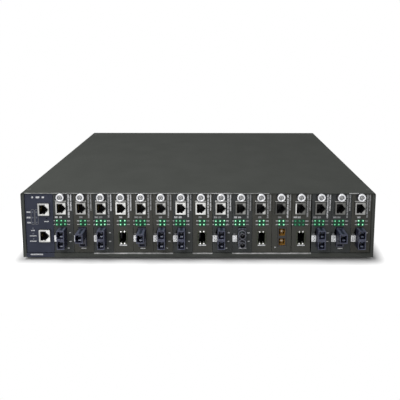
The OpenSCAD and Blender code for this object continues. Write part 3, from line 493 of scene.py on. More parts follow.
# Maker of each finish, its colours and its other values. A colour is given by screen values, by the name of one
# that a user may change, or by such a name and how much lighter it is.
FINISHES = {
    "case_paint": (powder_coat, ["case"]),
    "cover_paint": (powder_coat, ["case"], 0.71, 0.03, 45.0, 0.05),
    "panel_paint": (powder_coat, ["panel"], 0.5),
    "cool_paint": (powder_coat, ["cool"], 0.52),
    "warm_paint": (powder_coat, ["warm"], 0.52),
    "screw_paint": (powder_coat, [(82, 83, 81)], 0.5),
    # Broken edges of the faceplates and the panel in a lighter paint, a painted highlight where they catch light
    "cool_edge": (painted_edge_highlight, [("cool", 0.9), ("cool", 1.7)]),
    "warm_edge": (painted_edge_highlight, [("warm", 0.9), ("warm", 1.7)]),
    "panel_edge": (painted_edge_highlight, [("panel", 0.9), ("panel", 1.5)]),
    # Pale strips painted on the lip's ledge and the cover's front edge, painted highlights where those edges catch
    # light
    "rubbed_lip": (painted_edge_highlight, [(146, 147, 146), (184, 184, 184)]),
    "cut_edge": (painted_edge_highlight, [(122, 123, 121), (160, 162, 160)]),
    "optic_edge": (painted_edge_highlight, [(60, 62, 78), (86, 89, 106)]),
    "knob_steel": (plated, [(232, 233, 236)], 0.3, (1, 5, 1)),
    "knob_side": (plated, [(186, 186, 190)], 0.45, (1, 5, 1)),
    "dish_steel": (plated, [(134, 135, 139)], 0.5),
    "screw_steel": (plated, [(120, 121, 124)], 0.35),
    "cage_metal": (plated, [(62, 66, 54)], 0.45, (1, 4, 1), 0.3),
    "collar_metal": (plated, [(74, 77, 68)], 0.5),
    "barrel_metal": (plated, [(104, 105, 112)], 0.35),
    "gold_plate": (plated, [(214, 172, 84)], 0.26),
    "contact_gold": (plated, [(92, 78, 38)], 0.4),
    "zinc_sheet": (spangled, [(158, 160, 163)]),
    "dark_sheet": (spangled, [(112, 114, 116)], 0.45),
    "black_oxide": (moulded, [(20, 19, 24)], 0.6),
    "black_plastic": (moulded, [(22, 22, 24)]),
    "grey_plastic": (moulded, [(96, 97, 99)]),
    "white_plastic": (moulded, [(240, 241, 243)], 0.4),
    "pale_plastic": (moulded, [(186, 187, 192)], 0.4),
    "optic_plastic": (moulded, ["optic"], 0.42),
    "optic_dark": (moulded, [("optic", 0.3)], 0.6),
    "optic_top": (moulded, [(72, 76, 92)], 0.5),
    "hook_plastic": (moulded, [(84, 90, 108)], 0.4),
    "round_plastic": (moulded, [(32, 32, 38)], 0.35),
    "amber_plastic": (moulded, [(140, 102, 36)], 0.4),
    "ceramic": (moulded, [(214, 212, 204)], 0.3, 0.004),
    "grey_lens": (moulded, [(88, 92, 104)], 0.25, 0.004),
    "rubber": (moulded, [(24, 24, 25)], 0.75, 0.03),
    "circuit_board": (solder_mask, [(22, 92, 56)]),
    "copper_wire": (wound, [(184, 104, 52)]),
    "print": (printed, ["marks"]),
    "half_print": (printed, [("marks", 0.5)]),
    "dim_print": (printed, [("marks", 0.28)]),
    "pipe_plastic": (glowing, [("lamp", 0.5), "lamp"], 0.1),
    "spilled_light": (glowing, [(34, 56, 46), (20, 80, 52)], 0.12),
    "low_lens": (glowing, [("lamp", 0.5), "lamp"], 0.1),
    "mid_lens": (glowing, [("lamp", 0.8), "lamp"], 0.25),
    "high_lens": (glowing, ["lamp", "lamp"], 0.4),
    "low_core": (glowing, [(70, 150, 110), (60, 150, 105)], 0.3),
    "mid_core": (glowing, [(140, 215, 170), (120, 215, 160)], 0.6),
    "high_core": (glowing, [(180, 245, 205), (170, 245, 200)], 0.9),
}
for level, tone in TINS.items():
    FINISHES[level + "_tin"] = (plated, [(tone, tone, tone - 2)], 0.38, (1, 1, 6))


def colour_of(given):
    colours = bpy.context.scene.chassis_colours
    if isinstance(given, str):
        return getattr(colours, given)
    return srgb(*given) if len(given) == 3 else shade(getattr(colours, given[0]), given[1])


def finish(name):
    """The finished material of that name, made the first time it is asked for."""
    made = "finished_" + name
    maker, colours, *values = FINISHES[name]
    return bpy.data.materials.get(made) or maker(made, *map(colour_of, colours), *values)


def piece(name, shape, finishes, body, slot, *stands_for):
    """Makes a piece from its shape, and sets it on its body in place of the frame's nodes."""
    data = shape.mesh(name)
    for word in finishes:
        data.materials.append(finish(word))
    item = bpy.data.objects.new(name, data)
    bpy.context.scene.collection.objects.link(item)
    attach(item, body)
    if stands_for:
        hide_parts(*stands_for)
    return item


def dress(node, word):
    """Gives a node of the frame its finish."""
    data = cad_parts[node].data
    data.materials.clear()
    data.materials.append(finish(word))


def slot_x(i):
    return FIRST_SLOT + PITCH * i


def two(i):
    return f"{i + 1:02d}"


def converter(i):
    return "converter_" + two(i)


def lamp_xs(i):
    return LAMP_COLUMNS if MODULES[i].lamps == 6 else LAMP_COLUMNS[1:]


# Cover, frame and small hardware of the case

def case_screw(shape, a, b, top, radius, depth, axis, shank):
    """A screw with a cross recess. Its head lies between its outer face, top, and a depth that runs inward, and
    shank holds the shank's two ends and its radius."""
    recess = cross(a, b, radius * 0.58, radius * 0.13)
    low, high = sorted((top, top + depth * 0.6))
    shape.slab(disc(a, b, radius), low, high, [recess], 0.08, axis=axis)
    low, high = sorted((top + depth * 0.58, top + depth))
    shape.slab(disc(a, b, radius * 0.94), low, high, edge=0.05, axis=axis)
    start, end, thick = shank
    shape.turned([(start, 0), (start, thick), (end, thick - 0.1), (end, 0)], a, b, 20, axis=axis)


def case_screws():
    shape = Shape()
    head_r, sunk = 2.45, 0.02
    for x in (6.0, CASE_W - 6.0):
        for y in (11.0, CASE_D - 11.0):
            case_screw(shape, x, y, CASE_H - sunk, head_r, -1.0, "z", (CASE_H - 1.0, CASE_H - 3.6, 1.4))
    for side, inward in ((sunk, 1), (CASE_W - sunk, -1)):
        for y in (40, 90, 150, 210, 260):
            case_screw(shape, y, 10.0, side, head_r, inward, "x", (side + inward, side + inward * 3.6, 1.4))
    for fan in FAN_XS:
        for x, z in FAN_CORNERS:
            case_screw(shape, fan + x, FAN_Z + z, 303.5, 3.0, -1.6, "y", (301.9, 293.0, 1.5))
    piece("case_screw_set", shape, ["screw_paint"], "chassis", "screw_steel", "case_screws")


def feet():
    shape = Shape()
    foot = [(-4, 0), (-4, 6.4), (-3.7, 7.0), (-0.5, 7.9), (0, 8), (0, 3), (0, 0)]
    for x in (25.0, CASE_W - 25.0):
        for y in (24.0, CASE_D - 24.0):
            shape.turned(foot, x, y, 40, axis="z")
            shape.turned([(-4, 2.2), (-3.0, 2.0), (-3.0, 0)], x, y, 24, axis="z")
    piece("foot_set", shape, ["rubber"], "chassis", "rubber", "rubber_feet")


def front_frame():
    """Strips, lip with its ledge, and the rail behind the faceplates with a nut for each screw."""
    shape = Shape()
    inner, outer, bend, sheet = 1.3, 4.0, 2.7, 1.2
    lip_high, ledge, rail, rail_end = 5.2, 4.3, 2.7, 3.9
    arc = [math.radians(90 * k / 6) for k in range(7)]
    strip = [(inner, 0.1), (outer, 0.1)] + [(outer - bend * math.sin(a), 80.0 + bend * math.cos(a)) for a in arc]
    shape.slab(strip, 0, sheet, edge=0.08)
    shape.slab([(CASE_W - x, z) for x, z in reversed(strip)], 0, sheet, edge=0.08)
    for x in (inner, CASE_W - inner - sheet):
        shape.slab(rect(0.6, 18, 1.3, 79.8, 0.8), x, x + sheet, edge=0.2, axis="x")
    shape.slab(rect(outer, PANEL_END, 0.1, lip_high), 0, sheet, edge=0.1, finish=3)
    shape.slab(rect(PANEL_END, CASE_W - outer, 0.1, ledge + 0.05), 0, sheet, edge=0.1)
    # Ledge under each module; under some it is painted pale, a painted highlight where its top edge catches light
    for i in range(SLOTS):
        right = slot_x(i + 1) if i < SLOTS - 1 else CASE_W - outer
        shape.slab(rect(slot_x(i), right, ledge, lip_high), 0, rail_end, edge=0.1, finish=int(i in HIGHLIT_LIP))
    left, right = inner + 1.3, CASE_W - inner - 1.3
    shape.slab(rect(left, right, 4.2, 7.2), rail, rail_end, edge=0.1)
    holes = [disc(slot_x(i) + SCREW_X, SCREW_Z, SHAFT_R, 20) for i in range(SLOTS)]
    shape.slab(rect(FIRST_SLOT, right, 74, 82.7), rail, rail_end, holes, edge=0.1)
    shape.slab(rect(left, right, rail, 18), 81.5, 82.7, edge=0.1, axis="z")
    nut = [(3.8, SHAFT_R), (3.8, 3.4), (4.4, 2.9), (6.6, 2.9), (6.9, 2.6), (6.9, SHAFT_R)]
    for i in range(SLOTS):
        shape.turned(nut, slot_x(i) + SCREW_X, SCREW_Z, 24, 2, closed=True)
    piece("front_trim", shape, ["case_paint", "rubbed_lip", "screw_steel", "panel_paint"], "chassis", "case_paint",
          "front_frame")


def cover():
    """Painted highlight along the cover's front edge, pale and stronger in some stretches than others, on a cover
    whose shape is the frame's own.
    """
    dress("top_cover", "cover_paint")
    shape = Shape()
    # Ends of each stretch of the edge, and its finish, which sets how strong the painted highlight is there
    for left, right, at in ((5, 236, 0), (236, 262, 1), (262, 308, 0), (308, 407, 2), (407, 419, 1), (419, 434, 2)):
        shape.slab(rect(left, right, CASE_H - 1.1, CASE_H - 0.1), -0.05, 0.08, edge=0.03, finish=at)
    piece("cover_cut_edge", shape, ["cut_edge", "rubbed_lip", "case_paint"], "chassis", "case_paint")


# Converter modules

def module_piece(word, i, shape, finishes, slot):
    """A piece that rides on a module and stands in place of its node."""
    piece(word + "_" + two(i), shape, finishes, converter(i), slot, converter(i))


def faceplate(i, sizes):
    shape, module = Shape(slot_x(i)), MODULES[i]
    nose_x, nose_z, nose_w, nose_h = NOSES[module.optic]
    holes = [disc(SCREW_X, SCREW_Z, SHAFT_R), middle(JACK_X + JACK_W / 2, JACK_Z, JACK_W + 0.4, JACK_H + 0.4),
             middle(nose_x, nose_z, nose_w + 0.4, nose_h + 0.4)]
    holes += [disc(column, row, LAMP_R + 0.1, 24) for column in lamp_xs(i) for row in LAMP_ROWS]
    if i not in UNSWITCHED:
        holes.append(middle(SWITCH_X + SWITCH_W / 2, SWITCH_Z, SWITCH_W + 0.4, SWITCH_H + 0.4))
    right = PITCH - GAP - STAND_OFF.get(i, 0.0)
    # Its broken edges take the lighter edge finish, a painted highlight
    shape.slab(rect(GAP, right, FACE_LOW, FACE_HIGH, 0.5), FACE, FACE_BACK, holes, sizes.edge, 0, 1)
    # Ferrule in near-black, painted shade round the knob's base
    ferrule = [(-0.6, SHAFT_R), (-0.6, 3.1), (-0.35, 3.4), (0.1, 3.4), (0.2, 3.2), (0.8, 3.2), (0.9, 3.4),
               (1.4, 3.4), (1.4, SHAFT_R)]
    shape.turned(ferrule, SCREW_X, SCREW_Z, 36, 2, closed=True)
    # Dark washer, which also paints the knob's shade on the faceplate, cut off below the cover's edge
    top = FACE_HIGH - 0.1
    ring = [(x, min(z, top)) for x, z in disc(SCREW_X, SCREW_Z, WASHER_R, 48)]
    washer = [point for before, point, after in zip(ring[-1:] + ring, ring, ring[1:] + ring[:1])
              if min(before[1], point[1], after[1]) < top]
    shape.slab(washer, 0.85, 1.25, [disc(SCREW_X, SCREW_Z, 3.45, 32)], 0.08, 2)
    # Bracket that holds the circuit board
    shape.slab(rect(1.3, 14.2, JACK_Z - 7.0, JACK_Z + 7.0, 1.0), 0.6, 1.8, [disc(11.0, JACK_Z, 1.2, 20)], 0.15,
               axis="x")
    module_piece("faceplate", i, shape, [module.paint + "_paint", module.paint + "_edge", "black_oxide"],
                 "faceplate_paint")


def board_lead(shape, x, y, z):
    """A gull-wing lead from a chip's side down to the board."""
    path = [(x + 0.7, y, z), (x + 0.7, y, z + 0.35), (x + 0.12, y, z + 0.6), (x + 0.12, y, z + 1.1)]
    shape.sweep(path, middle(0, 0, 0.35, 0.16), (0, 1, 0), 3)


def module_board(i):
    shape = Shape(slot_x(i))
    outline = [(BOARD_Y, 7.7), (BOARD_END, 7.7), (BOARD_END, 24), (BOARD_END + 6, 24.6), (BOARD_END + 6, 59.4),
               (BOARD_END, 60), (BOARD_END, 73.5), (BOARD_Y, 73.5)]
    holes = [disc(y, z, 1.4, 20) for y, z in ((12, 70.5), (92, 70.5), (92, 11))]
    shape.slab(outline, BOARD_X, BOARD_X + BOARD_T, holes, 0.1, axis="x")
    # Contacts on both sides of the board's rear edge
    right = BOARD_X + BOARD_T
    for k in range(26):
        low = 25.8 + k * 1.27
        contact = rect(BOARD_END - 0.5, BOARD_END + 5.4, low, low + 0.8)
        for near, far in ((right - 0.02, right + 0.04), (BOARD_X - 0.04, BOARD_X + 0.02)):
            shape.slab(contact, near, far, edge=0, finish=1, axis="x")
    # Magnetics, controller, memory, regulator and crystal, each by its sides, corner, top, edge and finish
    for sides, corner, top, edge, at in (((16.0, 29.5, 57.8, 70.2), 0.4, 9.6, 0.4, 2),
                                         ((52.3, 66.3, 57.0, 71.0), 0.3, 4.9, 0.2, 2),
                                         ((48.0, 56.0, 34.0, 41.0), 0.3, 5.0, 0.2, 2),
                                         ((70.0, 84.0, 15.7, 23.7), 0.4, 9.6, 0.3, 2),
                                         ((62.0, 73.0, 44.0, 48.5), 2.2, 7.2, 0.3, 3)):
        shape.slab(rect(*sides, corner), PARTS_X, top, edge=edge, finish=at, axis="x")
    # The controller's leads on four sides
    for k in range(12):
        y, z = 53.0 + k * 1.15, 57.8 + k * 1.1
        board_lead(shape, PARTS_X, y, 71.0)
        for sides in ((y - 0.18, y + 0.18, 55.9, 57.1), (51.2, 52.4, z, z + 0.35), (66.2, 67.4, z, z + 0.35)):
            shape.slab(rect(*sides), PARTS_X, PARTS_X + 0.25, edge=0, finish=3, axis="x")
    for y, z, radius, tall in ((78, 66, 3.2, 10), (86, 66, 3.2, 10), (78, 34, 4.0, 12), (60, 20, 2.6, 8),
                               (52, 16, 2.6, 8)):
        can = [(0, 0), (0, radius), (1.0, radius), (1.4, radius - 0.3), (1.8, radius), (tall - 0.4, radius),
               (tall, radius - 0.4), (tall, 0)]
        shape.turned([(PARTS_X + depth, r) for depth, r in can], y, z, 28, 3, "x")
    # Small parts, scattered where nothing larger stands
    maker = random.Random(7)
    taken = ((51, 68, 55, 73), (47, 57, 33, 42), (69, 90, 14, 38), (61, 74, 43, 50), (74, 91, 61, 71),
             (48, 64, 12, 24))
    for _ in range(26):
        y, z = maker.uniform(44, 94), maker.uniform(12, 70)
        if not any(a - 3 < y < b + 2 and c - 2 < z < d + 2 for a, b, c, d in taken):
            shape.slab(rect(y, y + 2.0, z, z + 1.2), PARTS_X - 0.15, PARTS_X + 0.5, edge=0.08,
                       finish=maker.choice((2, 3)), axis="x")
    module_piece("board", i, shape, ["circuit_board", "gold_plate", "black_plastic", "dull_tin"], "circuit_board")


def jack_shape(shape, x, z, wide, tall, margin, wire, flange=True):
    """Folded shell, black insert, eight contact wires, and the shell's corners beside the latch notch, thin plates
    in a tin as light as the shell's or lighter, a painted highlight.
    """
    mouth, end, sheet = JACK_MOUTH, JACK_MOUTH + JACK_LEN, 0.35
    opening, half = x + margin, OPEN_H / 2
    outer = rect(x, x + wide, z - tall / 2, z + tall / 2, 0.5)
    shape.slab(outer, mouth, mouth + sheet, [stepped(opening, z)], 0.12)
    shape.slab(outer, mouth + sheet, end, [grow(outer, -sheet)], 0)
    shape.slab(grow(outer, -sheet - 0.05), mouth + sheet + 0.05, 12.0, [grow(stepped(opening, z), 0.12)], 0.1, 1)
    shape.slab(grow(outer, -sheet - 0.05), 12.0, end - 0.2, edge=0.1, finish=1)
    for k in range(8):
        height = z + (k - 3.5) * 1.02
        path = [(opening + 0.05, 4.4, height), (opening + 0.5, 4.6, height), (opening + 1.5, 6.6, height),
                (opening + 2.6, 9.6, height), (opening + 2.7, 12.1, height)]
        shape.sweep(path, disc(0, 0, wire, 8), (0, 0, 1), 2)
    left, right = opening + OPEN_W, x + wide - 0.2
    # Corner plates in their own tone of tin, a painted highlight
    for side in (-1, 1):
        corner = [(left + 0.25, half + 0.9), (right, half + 0.9), (right, 1.7), (left + 2.6, 3.0),
                  (left + 1.4, 4.3), (left + 0.25, 4.3)]
        points = [(a, z + side * b) for a, b in corner]
        shape.slab(points[::-side], mouth - 0.05, mouth + 0.02, edge=0.02, finish=3)
    # Tongue at the foot of the opening, and the shell's lip above the faceplate's window
    foot, centre = z - half - 0.1, opening + OPEN_W / 2 + 0.3
    tongue = [(centre - 1.2, foot), (centre + 1.2, foot), (centre + 0.35, foot + 1.0), (centre - 0.35, foot + 1.0)]
    shape.slab(tongue, mouth + 0.05, mouth + 0.35, edge=0.05)
    if flange:
        top = z + tall / 2
        shape.slab(rect(x - 0.4, x + wide + 0.4, top + 0.25, top + 1.8, 0.3), 0.5, 1.2, edge=0.12, finish=4, rim=3)


def network_jack(i, sizes):
    shape, module = Shape(slot_x(i)), MODULES[i]
    jack_shape(shape, JACK_X, JACK_Z, JACK_W, JACK_H, JACK_MARGIN, sizes.wire_r)
    # Strip of bright tin down the left side of the opening, a painted highlight
    if i == LIT_JACK:
        shape.slab(rect(JACK_X + 0.15, JACK_X + JACK_MARGIN - 0.2, JACK_Z - 6.6, JACK_Z + 6.6, 0.2),
                   JACK_MOUTH - 0.05, JACK_MOUTH + 0.02, edge=0.02, finish=5)
    module_piece("jack", i, shape, [module.frame + "_tin", "black_plastic", "contact_gold",
                                    module.corner + "_tin", "soft_tin", "bright_tin"], "plated_steel")


def lamp_shape(shape, x, z, radius, near, far, aside):
    """Domed lens and the bright spot in it, which lies a little aside."""
    dome = [(near + depth, radius * share) for depth, share in
            ((0, 0), (0.03, 0.4), (0.14, 0.75), (0.36, 0.95), (0.6, 1))]
    shape.turned(dome + [(far, radius), (far, 0)], x, z, 24)
    spot = [(near + depth, radius * share) for depth, share in
            ((-0.06, 0), (-0.04, 0.35), (0.1, 0.55), (0.4, 0.55), (0.4, 0))]
    shape.turned(spot, x + aside[0], z + aside[1], 20, 1)


def lamps(i):
    shape, maker = Shape(slot_x(i)), random.Random(40 + i)
    columns = lamp_xs(i)
    for x in columns:
        for z in LAMP_ROWS:
            lamp_shape(shape, x, z, LAMP_R, FACE - 0.24, FACE_BACK + 0.6,
                       (maker.uniform(-0.35, 0.35), maker.uniform(-0.3, 0.3)))
    left = columns[0] - LAMP_R - 0.6
    shape.slab(rect(left, 16.5, 40.45, 49.35, 0.6), 2.7, 5.7, edge=0.2, finish=2)
    # Light that spills round the lenses on the faceplate
    shape.slab(rect(columns[0] - 2.3, 16.7, 40.2, 49.5, 1.6), FACE - 0.03, FACE + 0.01,
               [disc(x, z, LAMP_R + 0.05, 24) for x in columns for z in LAMP_ROWS], 0, 3)
    glow = MODULES[i].glow
    module_piece("lamps", i, shape, [glow + "_lens", glow + "_core", "pipe_plastic", "spilled_light"],
                 "lamp_plastic")


def switch_block(i):
    """White block with four slots and a lever in each."""
    shape = Shape(slot_x(i))
    x = SWITCH_X + SWITCH_W / 2
    rows = [SWITCH_Z + (k - 1.5) * SWITCH_H / 4 for k in range(4)]
    slots = [middle(x, row, 3.0, 1.1) for row in rows]
    low, high = SWITCH_Z - SWITCH_H / 2, SWITCH_Z + SWITCH_H / 2
    shape.slab(rect(0.3, SWITCH_X + SWITCH_W, low - 0.3, high + 0.3, 0.3), 0.7, 1.18, slots, 0.12)
    shape.slab(middle(x, SWITCH_Z, SWITCH_W, SWITCH_H), 1.1, 1.5, slots, 0)
    shape.slab(middle(x, SWITCH_Z, SWITCH_W, SWITCH_H), 1.5, 6.3, edge=0.1)
    shape.slab(middle(x, SWITCH_Z, 3.4, 7.0), 1.42, 1.55, edge=0.02, finish=1)
    for k, row in enumerate(rows):
        shape.slab(middle(x + (0.35 if (k + i) % 2 else -0.35), row, 1.2, 0.85), 0.25, 1.5, edge=0.08)
    module_piece("switch_block", i, shape, ["white_plastic", "pale_plastic"], "black_plastic")


def port_inside(shape, x, z, mouth, depth=14.0):
    """Sleeve and two latch hooks that stand in a square port."""
    end = mouth + depth
    # The sleeve takes the nose's third finish, the darker copy of its plastic, painted shade in the port
    sleeve = [(end - 7, 0.95), (end - 7, 1.9), (end - 6.7, 2.1), (end + 0.1, 2.1), (end + 0.1, 0.95)]
    shape.turned(sleeve, x, z, 24, 2, closed=True)
    shape.turned([(end - 6.8, 0.6), (end - 6.8, 1.25), (end, 1.25), (end, 0.6)], x, z, 20, 3, closed=True)
    for side in (-1, 1):
        path = [(x + 0.6, end - depth, z + side * off) for depth, off in
                ((0, 3.0), (9.5, 3.0), (11.4, 2.2), (12.2, 3.1))]
        shape.sweep(path, middle(0, 0, 3.2, 0.8), (1, 0, 0), 4)


def duplex_optic(shape):
    mouth = FACE - 9.3
    left, right = OPTIC_X - 4.65, OPTIC_X + 4.65
    for side in (-1, 1):
        z = OPTIC_Z + side * PORT_STEP
        low, high = sorted((OPTIC_Z + side * 0.04, OPTIC_Z + side * 12.2))
        # Broken edges of the nose take a lighter blue, a painted highlight
        shape.slab(rect(left, right, low, high, 0.4), mouth, mouth + 14, [keyed(OPTIC_X, z, 7.0, 9.4)], 0.2, rim=1,
                   face=1)
        # Body behind the port in a darker copy of the plastic, painted shade
        shape.slab(rect(left + 0.1, right - 0.1, low + 0.1, high - 0.1), mouth + 13.9, 8.0, edge=0.1, finish=2)
        port_inside(shape, OPTIC_X, z, mouth)
        # Rib on the nose's outer end
        shape.slab(middle(OPTIC_X, OPTIC_Z + side * 12.2, 3.2, 0.7, 0.2), mouth + 1.2, 0.8, edge=0.1)
    # Step that the faceplate's window sits against, and a thin plate on top in a lighter blue, a painted highlight
    # of the lit top face
    shape.slab(middle(OPTIC_X, OPTIC_Z, 9.5, 24.6, 0.3), 0.3, 1.1, edge=0.15)
    shape.slab(rect(left + 0.3, right - 0.3, mouth + 0.8, 0.2), OPTIC_Z + 12.15, OPTIC_Z + 12.24, edge=0.03,
               finish=5, axis="z")


def single_optic(shape):
    """A nose for one plug that stands on the upper part of its base, with a notch below."""
    mouth, z = FACE - 15.2, 31.4
    port = middle(OPTIC_X, z, 7.4, 9.8)
    notch = middle(OPTIC_X, OPTIC_Z - 10.05, 6.4, 2.2)
    # Broken edges in a lighter blue are painted highlights, and the body behind the port takes a darker copy of the
    # plastic as painted shade
    shape.slab(middle(OPTIC_X, OPTIC_Z, 9.5, 24.5, 0.4), FACE - 2, FACE + 1, [notch, port], 0.2, rim=1)
    shape.slab(middle(OPTIC_X, OPTIC_Z, 9.3, 24.3), FACE + 1, 8.0, [port], 0.1, finish=2)
    shape.slab(middle(OPTIC_X, z, 9.5, 11.6, 0.5), mouth, mouth + 14, [keyed(OPTIC_X, z, 7.0, 9.4)], 0.2, rim=1,
               face=1)
    shape.slab(middle(OPTIC_X, z, 7.3, 9.7), mouth + 13.9, 6.0, edge=0.1, finish=2)
    for side in (-1, 1):
        shape.slab(middle(OPTIC_X, z + side * 5.8, 3.0, 0.5, 0.15), mouth + 1.5, FACE - 1.8, edge=0.08)
    # Thin plate on top in a lighter blue, a painted highlight of the lit top face
    shape.slab(rect(OPTIC_X - 4.3, OPTIC_X + 4.3, mouth + 0.8, FACE - 2.1), z + 5.75, z + 5.84, edge=0.03, finish=5,
               axis="z")
    port_inside(shape, OPTIC_X, z, mouth)


def cage_optic(shape):
    """Folded cage with a collar, spring fingers round its mouth and a connector at its far end."""
    x, z, wide, tall = NOSES["cage"]
    mouth = FACE - 0.6
    shape.slab(middle(x, z, wide, tall, 0.3), mouth, mouth + 47.5, [middle(x, z, wide - 0.8, tall - 0.8)], 0.1)
    shape.slab(middle(x, z, wide - 0.2, tall - 0.2), mouth + 47.4, mouth + 48, edge=0.05)
    inner = middle(x, z, wide + 0.05, tall + 0.05)
    shape.slab(middle(x, z, wide + 1.9, tall + 1.9, 0.8), mouth, mouth + 0.5, [inner], 0.12, 4)
    for side in (-1, 1):
        # Each finger by its distance from the cage's wall and its depth
        for k in (-1, 1):
            path = [(x + k * 2.2, depth, z + side * (tall / 2 + off)) for off, depth in
                    ((1.3, 0.75), (0.9, 0.25), (0.2, 0.15), (-0.4, 0.5), (-0.9, 4.5))]
            shape.sweep(path, middle(0, 0, 1.3, 0.2), (1, 0, 0), 3)
        for k in (-1, 0, 1):
            path = [(x + side * (wide / 2 + off), depth, z + k * 4.2) for off, depth in
                    ((1.2, 0.75), (0.7, 0.3), (-0.1, 0.3), (-0.6, 4.0))]
            shape.sweep(path, middle(0, 0, 2.0, 0.2), (0, 0, 1), 4)
    shape.slab(middle(x + 0.4, z, 5.6, 11.0, 0.3), 34.0, 46.0, [middle(x + 0.4, z, 1.6, 8.4)], 0.2, 1)
    for k in range(10):
        shape.slab(middle(x - 0.6, z + (k - 4.5) * 0.8, 0.4, 0.4), 34.6, 44.0, edge=0, finish=2)
    shape.slab(middle((PARTS_X + x) / 2 - 0.4, z, x - PARTS_X - 4.2, 10), 7.2, 47.8, edge=0.1, finish=1)


def round_optic(shape):
    """Two bayonet barrels on a dark block, each with its lugs and a core in black plastic that stands in for the
    shade in its bore.
    """
    x = NOSES["round"][0]
    # The block's broken edge takes a lighter blue-grey plastic, a painted highlight
    shape.slab(middle(x, OPTIC_Z, 9.6, 24.4, 0.6), FACE - 3, 8.0, edge=0.35, rim=1)
    barrel = [(-1.6, 3.0), (-1.9, 4.6), (-2.6, 4.6), (-2.9, 4.0), (-8.3, 4.0), (-8.8, 3.7), (-8.8, 3.2),
              (-8.5, 3.1), (-2.2, 3.1)]
    lug = [(3.7, 0), (3.7, 0.8), (4.55, 0.8), (4.7, 0.6), (4.7, 0)]
    for side in (-1, 1):
        z = OPTIC_Z + side * 5.95
        shape.turned(barrel, x, z, 40, 2, closed=True)
        shape.turned([(-7.2, 0), (-7.2, 0.9), (-7.0, 1.25), (-1.7, 1.25), (-1.7, 0)], x, z, 24, 3)
        shape.turned([(-4.2, 1.3), (-4.2, 2.0), (-1.8, 2.0), (-1.8, 1.3)], x, z, 24, 2, closed=True)
        for turn in (-1, 1):
            shape.turned([(x + turn * out, radius) for out, radius in lug], -7.2, z, 16, 2, "x")


def flush_optic(shape):
    """Two ports in a plate that barely stands out of the faceplate, with amber sleeves and guides in them."""
    x, middle_z, wide, tall = NOSES["flush"]
    mouth = FACE - 0.3
    end = mouth + 14
    ports = [middle_z - PORT_STEP, middle_z + PORT_STEP]
    shape.slab(middle(x, middle_z, wide, tall, 0.4), mouth, mouth + 3, [middle(x, z, 8.0, 9.4) for z in ports],
               0.25, rim=1)
    shape.slab(middle(x, middle_z, wide - 0.1, tall - 0.1), mouth + 3, 15.0,
               [middle(x, z, 8.6, 10.0) for z in ports], 0)
    for z in ports:
        shape.slab(middle(x, z, 8.5, 9.9), mouth + 1.5, end, [keyed(x, z, 7.2, 8.8, 0.4)], 0.2, 4)
        shape.slab(middle(x, z, 8.2, 9.6), end - 0.5, end + 0.5, edge=0.1, finish=4)
        sleeve = [(mouth + 3.5, 1.1), (mouth + 3.5, 2.2), (mouth + 4.0, 2.5), (end, 2.5), (end, 1.1)]
        shape.turned(sleeve, x, z, 28, 4, closed=True)
        tip = [(mouth + 3.9, 0.5), (mouth + 3.9, 1.3), (mouth + 13.9, 1.3), (mouth + 13.9, 0.5)]
        shape.turned(tip, x, z, 24, 3, closed=True)
        for side in (-1, 1):
            shape.slab(middle(x, z + side * 3.4, 3.4, 0.8, 0.2), mouth + 3.0, mouth + 13, edge=0.12, finish=4)


OPTICS = {"duplex": duplex_optic, "single": single_optic, "cage": cage_optic, "round": round_optic,
          "flush": flush_optic}
# The lighter edge and top blues are painted highlights, and the darker copy of the plastic is painted shade
NOSE_FINISHES = ["optic_plastic", "optic_edge", "optic_dark", "ceramic", "hook_plastic", "optic_top"]
OPTIC_FINISHES = {
    "duplex": NOSE_FINISHES,
    "single": NOSE_FINISHES,
    "cage": ["cage_metal", "black_plastic", "gold_plate", "bright_tin", "collar_metal"],
    "round": ["round_plastic", "hook_plastic", "barrel_metal", "black_plastic"],
    "flush": ["black_plastic", "round_plastic", "black_plastic", "ceramic", "amber_plastic"],
}


def optic(i):
    shape, kind = Shape(slot_x(i)), MODULES[i].optic
    OPTICS[kind](shape)
    if kind != "cage":
        # Housing on the board, behind the ports
        shape.slab(rect(PARTS_X + 0.1, 16.2, 13.7, 39.1, 0.5), 15.5 if kind == "flush" else 7.5, 41, edge=0.3)
    module_piece("optic", i, shape, OPTIC_FINISHES[kind], "plated_steel" if kind == "cage" else "black_plastic")


# Printed marks

def mark(shape, x, z, wide, tall, thick, finish_at=0, face=FACE):
    shape.slab(middle(x, z, wide, tall), face - thick, face + 0.02, edge=0, finish=finish_at)


def column_of_marks(shape, maker, x, high, low, wide, thick, finish_at):
    """A column of short bars in groups, as small print looks from a step away."""
    z = high
    while z > low:
        for _ in range(maker.randint(3, 8)):
            tall = maker.uniform(0.7, 1.1)
            if z - tall < low:
                return
            inset = maker.choice((0.0, 0.0, 0.3))
            mark(shape, x + inset / 2, z - tall / 2, wide - inset, tall, thick, finish_at)
            z -= tall + 0.22
        z -= 0.6


def row_of_marks(shape, maker, x, z, wide, tall, thick, finish_at=0, face=FACE):
    at = x - wide / 2
    while at < x + wide / 2 - 0.3:
        long = min(maker.uniform(0.5, 0.9), x + wide / 2 - at)
        mark(shape, at + long / 2, z, long, tall - maker.choice((0.0, 0.0, 0.3)), thick, finish_at, face)
        at += long + 0.28


# Rows of print that each kind of optic has beside or below it, by middle, width and height
ROWS = {"duplex": ((20.4, 31.7, 2.4, 1.3), (20.4, 20.4, 2.4, 1.3), (17.6, 11.4, 2.0, 1.2)),
        "round": ((20.4, 31.7, 2.4, 1.3), (20.4, 20.4, 2.4, 1.3), (13.0, 11.4, 9.6, 1.4)),
        "single": ((12.0, 11.2, 6.4, 1.4),),
        "flush": ((4.6, 12.6, 2.0, 1.6),),
        "cage": ()}


